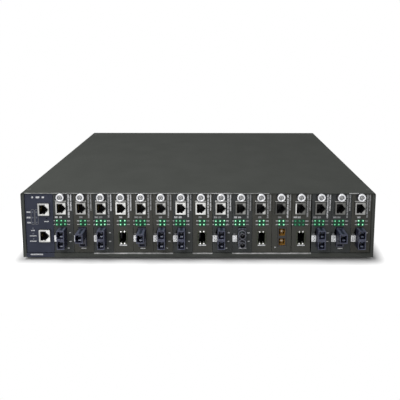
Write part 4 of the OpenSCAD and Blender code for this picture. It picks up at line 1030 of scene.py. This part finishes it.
def legend(i, sizes):
    """Generic bars where a module carries its print."""
    shape, maker, thick, module = Shape(slot_x(i)), random.Random(100 + i), sizes.print_t, MODULES[i]
    six = module.lamps == 6
    for x, low, wide, strength in ((19.2, 50.8, 2.0, module.print_1), (22.2, 60.0, 1.6, module.print_2)):
        column_of_marks(shape, maker, x, 81.4, low, wide, thick, 0 if strength == "full" else 2)
    for x in ((4.0, 9.2) if six else (9.4,)):
        row_of_marks(shape, maker, x, 52.0, 4.0, 2.3, thick, 2 if i % 3 else 0)
    for z in LAMP_ROWS:
        row_of_marks(shape, maker, lamp_xs(i)[0] - 3.2, z, 1.7 if six else 3.0, 1.2, thick)
        row_of_marks(shape, maker, 18.8, z, 3.6, 1.2, thick, 2 if i % 2 else 0)
    if i not in UNSWITCHED:
        row_of_marks(shape, maker, 3.2, 30.0, 3.4, 1.0, thick, 2)
    for row in ROWS[module.optic]:
        row_of_marks(shape, maker, *row, thick)
    if module.optic == "cage":
        mark(shape, 12.0, 15.4, 9.4, 1.5, thick)
    piece("legend_" + two(i), shape, ["print", "dim_print", "half_print"], converter(i), "faceplate_paint")


def thumb_screw(i, sizes):
    """Ridged knob with a dished end and a cross slot in its boss, on a threaded shaft."""
    shape, ridge = Shape(slot_x(i)), sizes.ridge_t
    knob = [(-2.6, 0), (-2.6, 2.85), (-2.8, 3.05), (-3.5, 3.1), (-3.7, 3.3), (-3.7, 4.45), (-3.45, 4.8),
            (-3.25, 4.9, ridge), (-1.3, 4.9, ridge), (-1.1, 4.7), (-0.9, 4.4), (-0.9, 0)]
    # The ridged side takes a darker copy of the steel and the dish a darker one still, painted shade
    shape.turned(knob, SCREW_X, SCREW_Z, sizes.ridges * 2, (2, 2, 2, 0, 0, 0, 0, 1, 1, 1, 1))
    shape.slab(disc(SCREW_X, SCREW_Z, 1.9, 40), -3.3, -2.55, [cross(SCREW_X, SCREW_Z, 1.6, 0.35)], 0.15, 3)
    shaft = [(-1.0, 0), (-1.0, 1.5), (2.9, 1.5)]
    for k in range(10):
        shaft += [(3.0 + k * 0.5, 1.3), (3.25 + k * 0.5, 1.5)]
    shape.turned(shaft + [(8.1, 1.2), (8.1, 0)], SCREW_X, SCREW_Z, 24, 1)
    piece("knob_" + two(i), shape, ["knob_steel", "knob_side", "dish_steel", "mid_tin"], "thumb_screw_" + two(i),
          "screw_steel", "thumb_screw_" + two(i))


# Management panel

def management_panel(sizes):
    """The panel's plate, its lenses, its two jacks and its print."""
    shape = Shape()
    lamps_at = [(x, z) for x in PANEL_LAMP_XS for z in PANEL_LAMP_ZS]
    lamps_at += [(PANEL_LAMP_XS[0], z) for z in PANEL_SINGLE_ZS]
    jack_x = PANEL_JACK_X + PANEL_JACK_W / 2
    holes = [middle(jack_x, z, PANEL_JACK_W + 0.4, PANEL_JACK_H + 0.4) for z in PANEL_JACK_ZS]
    holes += [disc(x, z, 1.1, 20) for x, z in lamps_at] + [disc(RESET_X, RESET_Z, 1.0, 24)]
    # Its broken edges take the lighter edge finish, a painted highlight
    shape.slab(rect(PANEL_X, PANEL_END, FACE_LOW, FACE_HIGH, 0.5), FACE, FACE_BACK, holes, sizes.edge, 0, 1)
    post = [(2.3, 0), (2.3, 2.5), (15.4, 2.5), (15.7, 2.2), (15.7, 0)]
    for x in (8.0, 35.2):
        for z in (12.4, 75.5):
            shape.turned(post, x, z, 24, 2)
    piece("management_plate", shape, ["panel_paint", "panel_edge", "screw_steel"], "chassis", "panel_paint",
          "management_panel")
    shape = Shape()
    for x, z in lamps_at:
        shape.turned([(0.9, 0), (0.96, 0.5), (1.1, 0.85), (1.4, 1.0), (8.1, 1.0), (8.1, 0)], x, z, 20)
    for right, low, high in ((20.0, 43.1, 60.4), (15.0, 21.8, 43.3)):
        shape.slab(rect(11.4, right, low, high, 0.8), 8.0, 15.7, edge=0.3)
    piece("management_lenses", shape, ["grey_lens"], "chassis", "lamp_plastic", "management_lamps")
    shape = Shape()
    for z in PANEL_JACK_ZS:
        jack_shape(shape, PANEL_JACK_X, z, PANEL_JACK_W, PANEL_JACK_H, PANEL_MARGIN, sizes.wire_r, False)
    piece("management_jack_pair", shape, ["mid_tin", "black_plastic", "contact_gold", "bright_tin"], "chassis",
          "plated_steel", "management_jacks")
    panel_print(sizes.print_t)


def panel_print(thick):
    """Outlines round the two groups of lamps, and generic bars where the panel carries its print."""
    shape, maker = Shape(), random.Random(5)
    near, far = FACE - thick, FACE + 0.02
    for left, right in ((11.3, 15.7), (16.3, 20.4)):
        inner = rect(left + 0.4, right - 0.4, 42.7, 61.6, 1.2)
        shape.slab(rect(left, right, 42.3, 62.0, 1.6), near, far, [inner], 0, 1)
    for z in PANEL_LAMP_ZS:
        row_of_marks(shape, maker, 8.4, z, 4.6, 2.0, thick)
    for z, wide in zip(PANEL_SINGLE_ZS, (4.6, 8.4, 8.4)):
        row_of_marks(shape, maker, 12.9, z - 3.0, wide, 1.3, thick)
    row_of_marks(shape, maker, RESET_X, RESET_Z - 3.6, 6.0, 1.3, thick)
    row_of_marks(shape, maker, 27.6, 18.6, 9.6, 0.8, thick, 1)
    row_of_marks(shape, maker, 17.0, 3.7, 15.5, 1.9, thick, face=0)
    for left, wide in ((13.0, 3.2), (18.2, 7.4), (25.8, 4.6)):
        shape.slab(rect(left, left + wide * 0.62, 76.6, 78.8, 0.5), near, far, edge=0)
    piece("management_print", shape, ["print", "dim_print"], "chassis", "panel_paint")


# Pieces at the back

def supply_case(n):
    """Case and end plate of a supply."""
    body = f"power_supply_{n + 1}"
    shape = Shape(SUPPLY_XS[n], 0, SUPPLY_Z)
    holes = [disc(54 + column * 5.6, 12 + row * 5.6, 2.0, 16) for column in range(5) for row in range(9)]
    holes += [middle(INLET_X, INLET_Z, 27.4, 20.4), middle(ROCKER_X, ROCKER_Z, 15.4, 20.4)]
    shape.slab(rect(-3, SUPPLY_W + 3, -3, SUPPLY_H + 3, 1.5), PLATE_Y, PLATE_END, holes, 0.25)
    outer, inner = rect(0, SUPPLY_W, 0, SUPPLY_H, 1.0), rect(1, SUPPLY_W - 1, 1, SUPPLY_H - 1, 0.6)
    shape.slab(outer, SUPPLY_Y + 0.9, PLATE_Y, [inner], 0.1)
    shape.slab(outer, SUPPLY_Y, SUPPLY_Y + 1, [rect(29.7, 80.3, 3.0, 21.0)], 0.15)
    # Louvres as thin plates of a darker copy of the sheet, painted shade of their openings
    for k in range(14):
        louvre = rect(150 + k * 9, 154 + k * 9, 14, 58, 1.9)
        shape.slab(louvre, SUPPLY_W - 0.4, SUPPLY_W + 0.1, edge=0.1, finish=1, axis="x")
    piece(f"supply_case_{n + 1}", shape, ["zinc_sheet", "dark_sheet"], body, "bay_steel", body)


def supply_handle(n):
    """Bow handle with a grip over its middle, and two captive screws."""
    body = f"power_supply_{n + 1}"
    shape = Shape(SUPPLY_XS[n], 0, SUPPLY_Z)
    x, low, high, reach, bend = 96, 11, 61, 321.5, 6.0
    arc = [math.radians(90 * k / 8) for k in range(9)]
    path = [(x, PLATE_END - 0.1, low)]
    path += [(x, reach - bend + bend * math.sin(a), low + bend - bend * math.cos(a)) for a in arc]
    path += [(x, reach - bend + bend * math.cos(a), high - bend + bend * math.sin(a)) for a in arc]
    shape.sweep(path + [(x, PLATE_END - 0.1, high)], disc(0, 0, 2.3, 20), (1, 0, 0))
    grip = [(low + 9, 2.2), (low + 9.4, 2.5), (high - 9.4, 2.5), (high - 9, 2.2)]
    shape.turned(grip, x, reach, 28, 1, "z", closed=True)
    foot = [(-0.05, 0), (-0.05, 4.6), (1.2, 4.2), (1.6, 3.0), (1.6, 0)]
    knob = [(-0.05, 0), (-0.05, 3.3), (1.4, 3.3), (1.8, 3.9, 0.2), (6.2, 3.9, 0.2), (7, 3.4), (7, 0)]
    for z in (low, high):
        shape.turned([(PLATE_END + depth, *radius) for depth, *radius in foot], x, z, 28)
    for corner, z in ((6, SUPPLY_H - 6), (SUPPLY_W - 6, SUPPLY_H - 6)):
        shape.turned([(PLATE_END + depth, *radius) for depth, *radius in knob], corner, z, 64)
        shape.slab(disc(corner, z, 3.3), PLATE_END + 6.4, PLATE_END + 7.05, [middle(corner, z, 5.2, 0.8)], 0.08)
    piece(f"supply_handle_{n + 1}", shape, ["screw_steel", "black_plastic"], body, "bay_steel", body)


def supply_board(n):
    """Board, mains coil, two capacitors and a finned heat sink inside a supply."""
    body = f"power_supply_{n + 1}"
    shape = Shape(SUPPLY_XS[n], 0, SUPPLY_Z)
    low, high, sink = 12, 13.6, (13.7, 61.7)

    def box(left, right, near, far, bottom, top, edge=0.1, finish=0, corner=0.0):
        shape.slab(rect(left, right, near, far, corner), bottom, top, edge=edge, finish=finish, axis="z")

    box(2, SUPPLY_W - 2, SUPPLY_Y + 2, 279, low, high)
    box(33, 77, SUPPLY_Y - 4.5, SUPPLY_Y + 3, low, high)
    for k in range(18):
        box(34.6 + k * 2.3, 36.0 + k * 2.3, SUPPLY_Y - 4.4, SUPPLY_Y - 0.4, high - 0.05, high + 0.05, 0, 1)
    box(12, 52, 197, 231, 20, 37, 1.0, 2, 2)
    box(17, 47, 193, 235, 13.7, 43.6, 0.5, 3, 1)
    can = [(13.7, 0), (13.7, 9), (16.0, 9), (16.8, 8.6), (17.6, 9), (45.2, 9), (45.7, 8.4), (45.7, 0)]
    for x in (24, 46):
        shape.turned(can, x, 171, 36, 3, "z")
    box(88, 90, 171, 251, *sink, finish=4)
    for k in range(10):
        box(88, 94, 171 + k * 8.6, 172.6 + k * 8.6, 18, sink[1], finish=4)
    piece(f"supply_board_{n + 1}", shape, ["circuit_board", "gold_plate", "copper_wire", "black_plastic",
                                           "dull_tin"], body, "circuit_board", body)


def power_inlet(n):
    """Inlet with its stepped mouth and three blades, and the bezel of the rocker above it."""
    shape = Shape(SUPPLY_XS[n], PLATE_END + 0.1, SUPPLY_Z)
    mouth = [(-12, -8), (12, -8), (12, 3.5), (7.5, 8), (-7.5, 8), (-12, 3.5)]
    opening = [(INLET_X + a, INLET_Z + b) for a, b in mouth]
    hole = middle(ROCKER_X, ROCKER_Z, 11.6, 16.6)
    shape.slab(middle(INLET_X, INLET_Z, 31, 24, 2.5), 0, 2, [opening], 0.4)
    shape.slab(middle(INLET_X, INLET_Z, 27, 20, 1.0), -14, 0, [opening], 0.1)
    shape.slab(middle(INLET_X, INLET_Z, 27, 20, 1.0), -18, -14, edge=0.3)
    for x, z in ((-7, -2), (0, 2), (7, -2)):
        shape.slab(middle(INLET_X + x, INLET_Z + z, 2, 4, 0.3), -14.2, -5, edge=0.3, finish=1)
    shape.slab(middle(ROCKER_X, ROCKER_Z, 17, 22, 1.2), 0, 1, [hole], 0.3)
    shape.slab(middle(ROCKER_X, ROCKER_Z, 15, 20, 0.8), -10, 0, [hole], 0.1)
    shape.slab(middle(ROCKER_X, ROCKER_Z, 15, 20, 0.8), -12, -10, edge=0.2)
    piece(f"inlet_{n + 1}", shape, ["black_plastic", "dull_tin"], f"power_supply_{n + 1}", "black_plastic",
          f"power_inlet_{n + 1}")


def rocker(n):
    """Rocker with a hollow crown, and a bar and a ring on its two ends."""
    body = f"power_switch_{n + 1}"
    shape = Shape(SUPPLY_XS[n] + ROCKER_X, PLATE_END - 1.5, SUPPLY_Z + ROCKER_Z)
    tilt, half = math.radians(9), 7.4

    def tilted(y, z):
        return y * math.cos(tilt) - z * math.sin(tilt), y * math.sin(tilt) + z * math.cos(tilt)

    # Height of the crown, from its middle to its end
    crown = [(2.2, 0.0)] + [(3.4 - 1.2 * math.cos(math.pi / 2 * (k / 5)) ** 2, k / 5) for k in range(1, 6)]
    top = [(y, -share * half) for y, share in reversed(crown)] + [(y, share * half) for y, share in crown[1:]]
    outline = top + [(0, half), (-6, half / 3), (-6, -half / 3), (0, -half)]
    shape.slab([tilted(y, z) for y, z in outline], -5.5, 5.5, edge=0.3, axis="x")
    shape.turned([(-7.1, 0), (-7.1, 1.2), (7.1, 1.2), (7.1, 0)], 0, 0, 20, 0, "x")
    y, z = tilted(3.12, half * 0.62)
    shape.sweep([(-1.6, y, z), (1.6, y, z)], disc(0, 0, 0.3, 8), (0, 0, 1), 1)
    y, z = tilted(3.12, -half * 0.62)
    shape.sweep([(a, y, b) for a, b in disc(0, z, 1.5, 24)], disc(0, 0, 0.25, 8), (0, 1, 0), 1, True)
    piece(f"rocker_{n + 1}", shape, ["black_plastic", "white_plastic"], body, "black_plastic", body)


def fan_rotor(n):
    """Hub with seven curved blades that twist from root to tip."""
    body = f"fan_rotor_{n + 1}"
    shape = Shape(FAN_XS[n], 0, FAN_Z)
    near, far, blades = 274.9, 295.1, 7
    shape.turned([(near + 1.2, 1.56), (near + 1.2, 2.4), (near + 0.3, 2.6), (near, 12.2), (near + 0.8, 13),
                  (far, 13), (far, 1.56)], 0, 0, 48, closed=True)
    for blade in range(blades):
        fan_blade(shape, blade * math.tau / blades, near, far)
    piece(f"fan_blades_{n + 1}", shape, ["black_plastic"], body, "black_plastic", body)


def fan_blade(shape, turn, near, far, rows=7, columns=7):
    """The two skins of a blade, and the rim between them."""
    skins = []
    for side in (-1, 1):
        skin = []
        for row in range(rows):
            share = row / (rows - 1)
            radius, twist, chord = 12.6 + share * 14.9, math.radians(52 - 20 * share), 15.0 + 5.5 * share
            first = len(shape.points)
            for k in range(columns):
                across = k / (columns - 1)
                along, arch = (across - 0.5) * chord, 1 - (2 * across - 1) ** 2
                off = 1.6 * arch + side * (0.25 + 0.45 * arch)
                depth = (near + far) / 2 + along * math.cos(twist) * 0.86 + off * math.sin(twist)
                angle = (along * math.sin(twist) - off * math.cos(twist)) / radius + turn + share * 0.22
                place = (radius * math.sin(angle), min(max(depth, near + 0.2), far - 0.2), radius * math.cos(angle))
                shape.points.append(shape.at + Vector(place))
            skin.append(list(range(first, len(shape.points))))
        skins.append(skin)
    for skin in skins:
        for one, other in zip(skin, skin[1:]):
            for k in range(columns - 1):
                shape.face((one[k], one[k + 1], other[k + 1], other[k]), 0)
    rims = [[row[0] for row in skin] + skin[-1][1:] + [row[-1] for row in skin[-2::-1]] + skin[0][-2:0:-1]
            for skin in skins]
    shape.wall(*rims, 0)


def fan_guards():
    """Finger guards of bent wire: four rings and two bars that end in eyes."""
    shape = Shape()
    level, reach = 300.95, 23.2

    def ring(x, z, radius, steps):
        path = [(a, level, b) for a, b in disc(x, z, radius, steps)]
        shape.sweep(path, disc(0, 0, 0.7, 10), (0, 1, 0), 0, True)

    for x in FAN_XS:
        for radius in (8, 14.5, 21, 27.5):
            ring(x, FAN_Z, radius, 64)
        for side in (1, -1):
            shape.sweep([(x - reach, level, FAN_Z - reach * side), (x + reach, level, FAN_Z + reach * side)],
                        disc(0, 0, 0.62, 10), (0, 1, 0))
        for a, b in FAN_CORNERS:
            ring(x + a, FAN_Z + b, 2.6, 28)
    piece("guard_wires", shape, ["bright_tin"], "chassis", "plated_steel", "fan_guards")


# Floor, lamps and camera

WHITE = (1, 1, 1, 1)


def stage_floor():
    """Pale floor that keeps the object's shadow and otherwise shows as white."""
    data = bpy.data.meshes.new("floor")
    reach, rows = 6.0, 24
    across = [(k / rows - 0.5) * 2 * reach for k in range(rows + 1)]
    corners = [j * (rows + 1) + i for j in range(rows) for i in range(rows)]
    data.from_pydata([(x, y, 0.0) for y in across for x in across], [],
                     [(k, k + 1, k + rows + 2, k + rows + 1) for k in corners])
    item = bpy.data.objects.new("floor", data)
    bpy.context.scene.collection.objects.link(item)
    made = Finish("pale_floor", (0.6, 0.6, 0.6), 0.9, gloss=0.0)
    made.tint(made.noise(60.0), (0.59, 0.59, 0.59), (0.61, 0.61, 0.61))

    def vector(operation, *values, output=0):
        return made.node("ShaderNodeVectorMath", dict(enumerate(values)), operation=operation).outputs[output]

    # The floor glows for the camera more strongly with distance from the case's outline, which paints a narrow band
    # of shade along the outline on top of its real shadow, and further off it is plain white
    half = (CASE_W * MM / 2, CASE_D * MM / 2, 0)
    over = vector("SUBTRACT", vector("ABSOLUTE", made.place), half)
    away = vector("LENGTH", vector("MAXIMUM", over, (0, 0, 0)), output="Value")
    seen, plain = seen_ray(made), made.shader.outputs[0]
    glow = made.node("ShaderNodeEmission", {"Color": WHITE, "Strength": made.span(away, 0.004, 0.021, 0.0, 0.8)})
    lit = made.node("ShaderNodeAddShader", {0: plain, 1: glow.outputs[0]}).outputs[0]
    near = made.node("ShaderNodeMixShader", {0: seen, 1: plain, 2: lit}).outputs[0]
    far = made.node("ShaderNodeMath", {0: made.span(away, 0.02, 0.1), 1: seen}, operation="MULTIPLY").outputs[0]
    white = made.node("ShaderNodeEmission", {"Color": WHITE, "Strength": 1.0}).outputs[0]
    whole = made.node("ShaderNodeMixShader", {0: far, 1: near, 2: white}).outputs[0]
    made.links.new(whole, made.nodes["Material Output"].inputs["Surface"])
    data.materials.append(made.material)


def seen_ray(tree):
    """One where a ray comes from the camera, or from it by a reflection or through glass."""
    ray = tree.node("ShaderNodeLightPath").outputs
    seen = ray["Is Camera Ray"]
    for word in ("Is Glossy Ray", "Is Transmission Ray"):
        seen = tree.node("ShaderNodeMath", {0: seen, 1: ray[word]}, operation="MAXIMUM").outputs[0]
    return seen


class Surround:
    """Nodes of the world, with the same way of adding them as a finish has."""

    node = Finish.node

    def __init__(self):
        world = bpy.data.worlds.new("studio")
        bpy.context.scene.world = world
        world.use_nodes = True
        self.nodes, self.links = world.node_tree.nodes, world.node_tree.links
        white = self.node("ShaderNodeBackground", {"Color": WHITE, "Strength": 1.0}).outputs[0]
        soft = self.node("ShaderNodeBackground", {"Color": WHITE, "Strength": 0.42}).outputs[0]
        mixed = self.node("ShaderNodeMixShader", {0: seen_ray(self), 1: soft, 2: white}).outputs[0]
        self.links.new(mixed, self.nodes["World Output"].inputs["Surface"])


def softbox(name, place, aim, size, power):
    lamp = bpy.data.lights.new(name, "AREA")
    lamp.shape, lamp.size, lamp.energy = "SQUARE", size, power
    item = bpy.data.objects.new(name, lamp)
    item.location = place
    item.rotation_euler = (Vector(aim) - Vector(place)).to_track_quat("-Z", "Y").to_euler()
    bpy.context.scene.collection.objects.link(item)


def camera():
    """Camera at the photograph's angle: level lines meet above the picture's middle, so the lens is shifted."""
    data = bpy.data.cameras.new("camera")
    data.sensor_width, data.lens = 36.0, 35.15
    data.shift_x, data.shift_y = -0.032, -0.308
    data.clip_start, data.clip_end = 0.01, 50.0
    item = bpy.data.objects.new("camera", data)
    item.location = (0.0167, -0.6202, 0.2813)
    item.rotation_euler = (math.radians(90 - 6), math.radians(-0.09), math.radians(-0.11))
    bpy.context.scene.collection.objects.link(item)
    bpy.context.scene.camera = item


# Operators

class ChassisOperator:
    """What the operators share."""

    bl_options = {"REGISTER", "UNDO"}

    def execute(self, context):
        self.build(context.scene.chassis_sizes)
        return {"FINISHED"}


class CHASSIS_OT_case(ChassisOperator, bpy.types.Operator):
    """Dress the cover and the frame's inner nodes, and build the front frame, the screws and the feet"""

    bl_idname = "chassis.case"
    bl_label = "Case"

    def build(self, sizes):
        cover()
        front_frame()
        case_screws()
        feet()
        for node, word in (("base_tray", "case_paint"), ("rear_panel", "case_paint"), ("power_bays", "zinc_sheet"),
                           ("lower_card_guide", "black_plastic"), ("upper_card_guide", "black_plastic"),
                           ("slot_connectors", "grey_plastic"), ("backplane_board", "circuit_board"),
                           ("management_board", "circuit_board"), ("power_dock", "circuit_board"),
                           ("reset_button", "grey_plastic"), ("fan_frame_1", "black_plastic"),
                           ("fan_frame_2", "black_plastic")):
            dress(node, word)


class CHASSIS_OT_management(ChassisOperator, bpy.types.Operator):
    """Build the management panel with its jacks, lenses and print"""

    bl_idname = "chassis.management"
    bl_label = "Management panel"

    def build(self, sizes):
        management_panel(sizes)


class CHASSIS_OT_faceplates(ChassisOperator, bpy.types.Operator):
    """Build the faceplates of the modules and their print"""

    bl_idname = "chassis.faceplates"
    bl_label = "Faceplates"

    def build(self, sizes):
        for i in range(SLOTS):
            faceplate(i, sizes)
            legend(i, sizes)


class CHASSIS_OT_boards(ChassisOperator, bpy.types.Operator):
    """Build the circuit boards of the modules"""

    bl_idname = "chassis.boards"
    bl_label = "Circuit boards"

    def build(self, sizes):
        for i in range(SLOTS):
            module_board(i)


class CHASSIS_OT_jacks(ChassisOperator, bpy.types.Operator):
    """Build the network jacks of the modules"""

    bl_idname = "chassis.jacks"
    bl_label = "Network jacks"

    def build(self, sizes):
        for i in range(SLOTS):
            network_jack(i, sizes)


class CHASSIS_OT_lamps(ChassisOperator, bpy.types.Operator):
    """Build the lamps and the switch blocks of the modules"""

    bl_idname = "chassis.lamps"
    bl_label = "Lamps and switch blocks"

    def build(self, sizes):
        for i in range(SLOTS):
            lamps(i)
            if i not in UNSWITCHED:
                switch_block(i)


class CHASSIS_OT_optics(ChassisOperator, bpy.types.Operator):
    """Build the optics of the modules"""

    bl_idname = "chassis.optics"
    bl_label = "Optics"

    def build(self, sizes):
        for i in range(SLOTS):
            optic(i)


class CHASSIS_OT_knobs(ChassisOperator, bpy.types.Operator):
    """Build the thumb screws of the modules"""

    bl_idname = "chassis.knobs"
    bl_label = "Thumb screws"

    def build(self, sizes):
        for i in range(SLOTS):
            thumb_screw(i, sizes)


class CHASSIS_OT_supplies(ChassisOperator, bpy.types.Operator):
    """Build the power supplies with their inlets and rockers"""

    bl_idname = "chassis.supplies"
    bl_label = "Power supplies"

    def build(self, sizes):
        for n in range(2):
            supply_case(n)
            supply_handle(n)
            supply_board(n)
            power_inlet(n)
            rocker(n)


class CHASSIS_OT_fans(ChassisOperator, bpy.types.Operator):
    """Build the fan rotors and the wire guards"""

    bl_idname = "chassis.fans"
    bl_label = "Fans"

    def build(self, sizes):
        for n in range(2):
            fan_rotor(n)
        fan_guards()


class CHASSIS_OT_stage(ChassisOperator, bpy.types.Operator):
    """Set up the floor, the surround, the soft lamps and the camera"""

    bl_idname = "chassis.stage"
    bl_label = "Stage"

    def build(self, sizes):
        stage_floor()
        Surround()
        softbox("top_light", (-0.35, -0.5, 0.75), (0, -0.05, 0.04), 0.7, 6.5)
        softbox("front_light", (0.45, -1.5, 0.75), (0, -0.1, 0.04), 1.2, 2.6)
        camera()
        bpy.context.scene.view_settings.view_transform = "Standard"


OPERATORS = (CHASSIS_OT_case, CHASSIS_OT_management, CHASSIS_OT_faceplates, CHASSIS_OT_boards, CHASSIS_OT_jacks,
             CHASSIS_OT_lamps, CHASSIS_OT_optics, CHASSIS_OT_knobs, CHASSIS_OT_supplies, CHASSIS_OT_fans,
             CHASSIS_OT_stage)


class CHASSIS_PT_panel(bpy.types.Panel):
    """Lists the operators and the properties in the sidebar"""

    bl_label = "Media Converter Chassis"
    bl_idname = "CHASSIS_PT_panel"
    bl_space_type = "VIEW_3D"
    bl_region_type = "UI"
    bl_category = "Chassis"

    def draw(self, context):
        for group in (context.scene.chassis_sizes, context.scene.chassis_colours):
            for name in group.__annotations__:
                self.layout.prop(group, name)
        for operator in OPERATORS:
            self.layout.operator(operator.bl_idname)


CLASSES = (ChassisSizes, ChassisColours, *OPERATORS, CHASSIS_PT_panel)


def register():
    for cls in CLASSES:
        bpy.utils.register_class(cls)
    bpy.types.Scene.chassis_sizes = PointerProperty(type=ChassisSizes)
    bpy.types.Scene.chassis_colours = PointerProperty(type=ChassisColours)


def unregister():
    del bpy.types.Scene.chassis_colours
    del bpy.types.Scene.chassis_sizes
    for cls in reversed(CLASSES):
        bpy.utils.unregister_class(cls)


def main():
    register()
    for operator in OPERATORS:
        group, name = operator.bl_idname.split(".")
        getattr(getattr(bpy.ops, group), name)()
    bpy.context.view_layer.update()


if __name__ == "__main__":
    main()
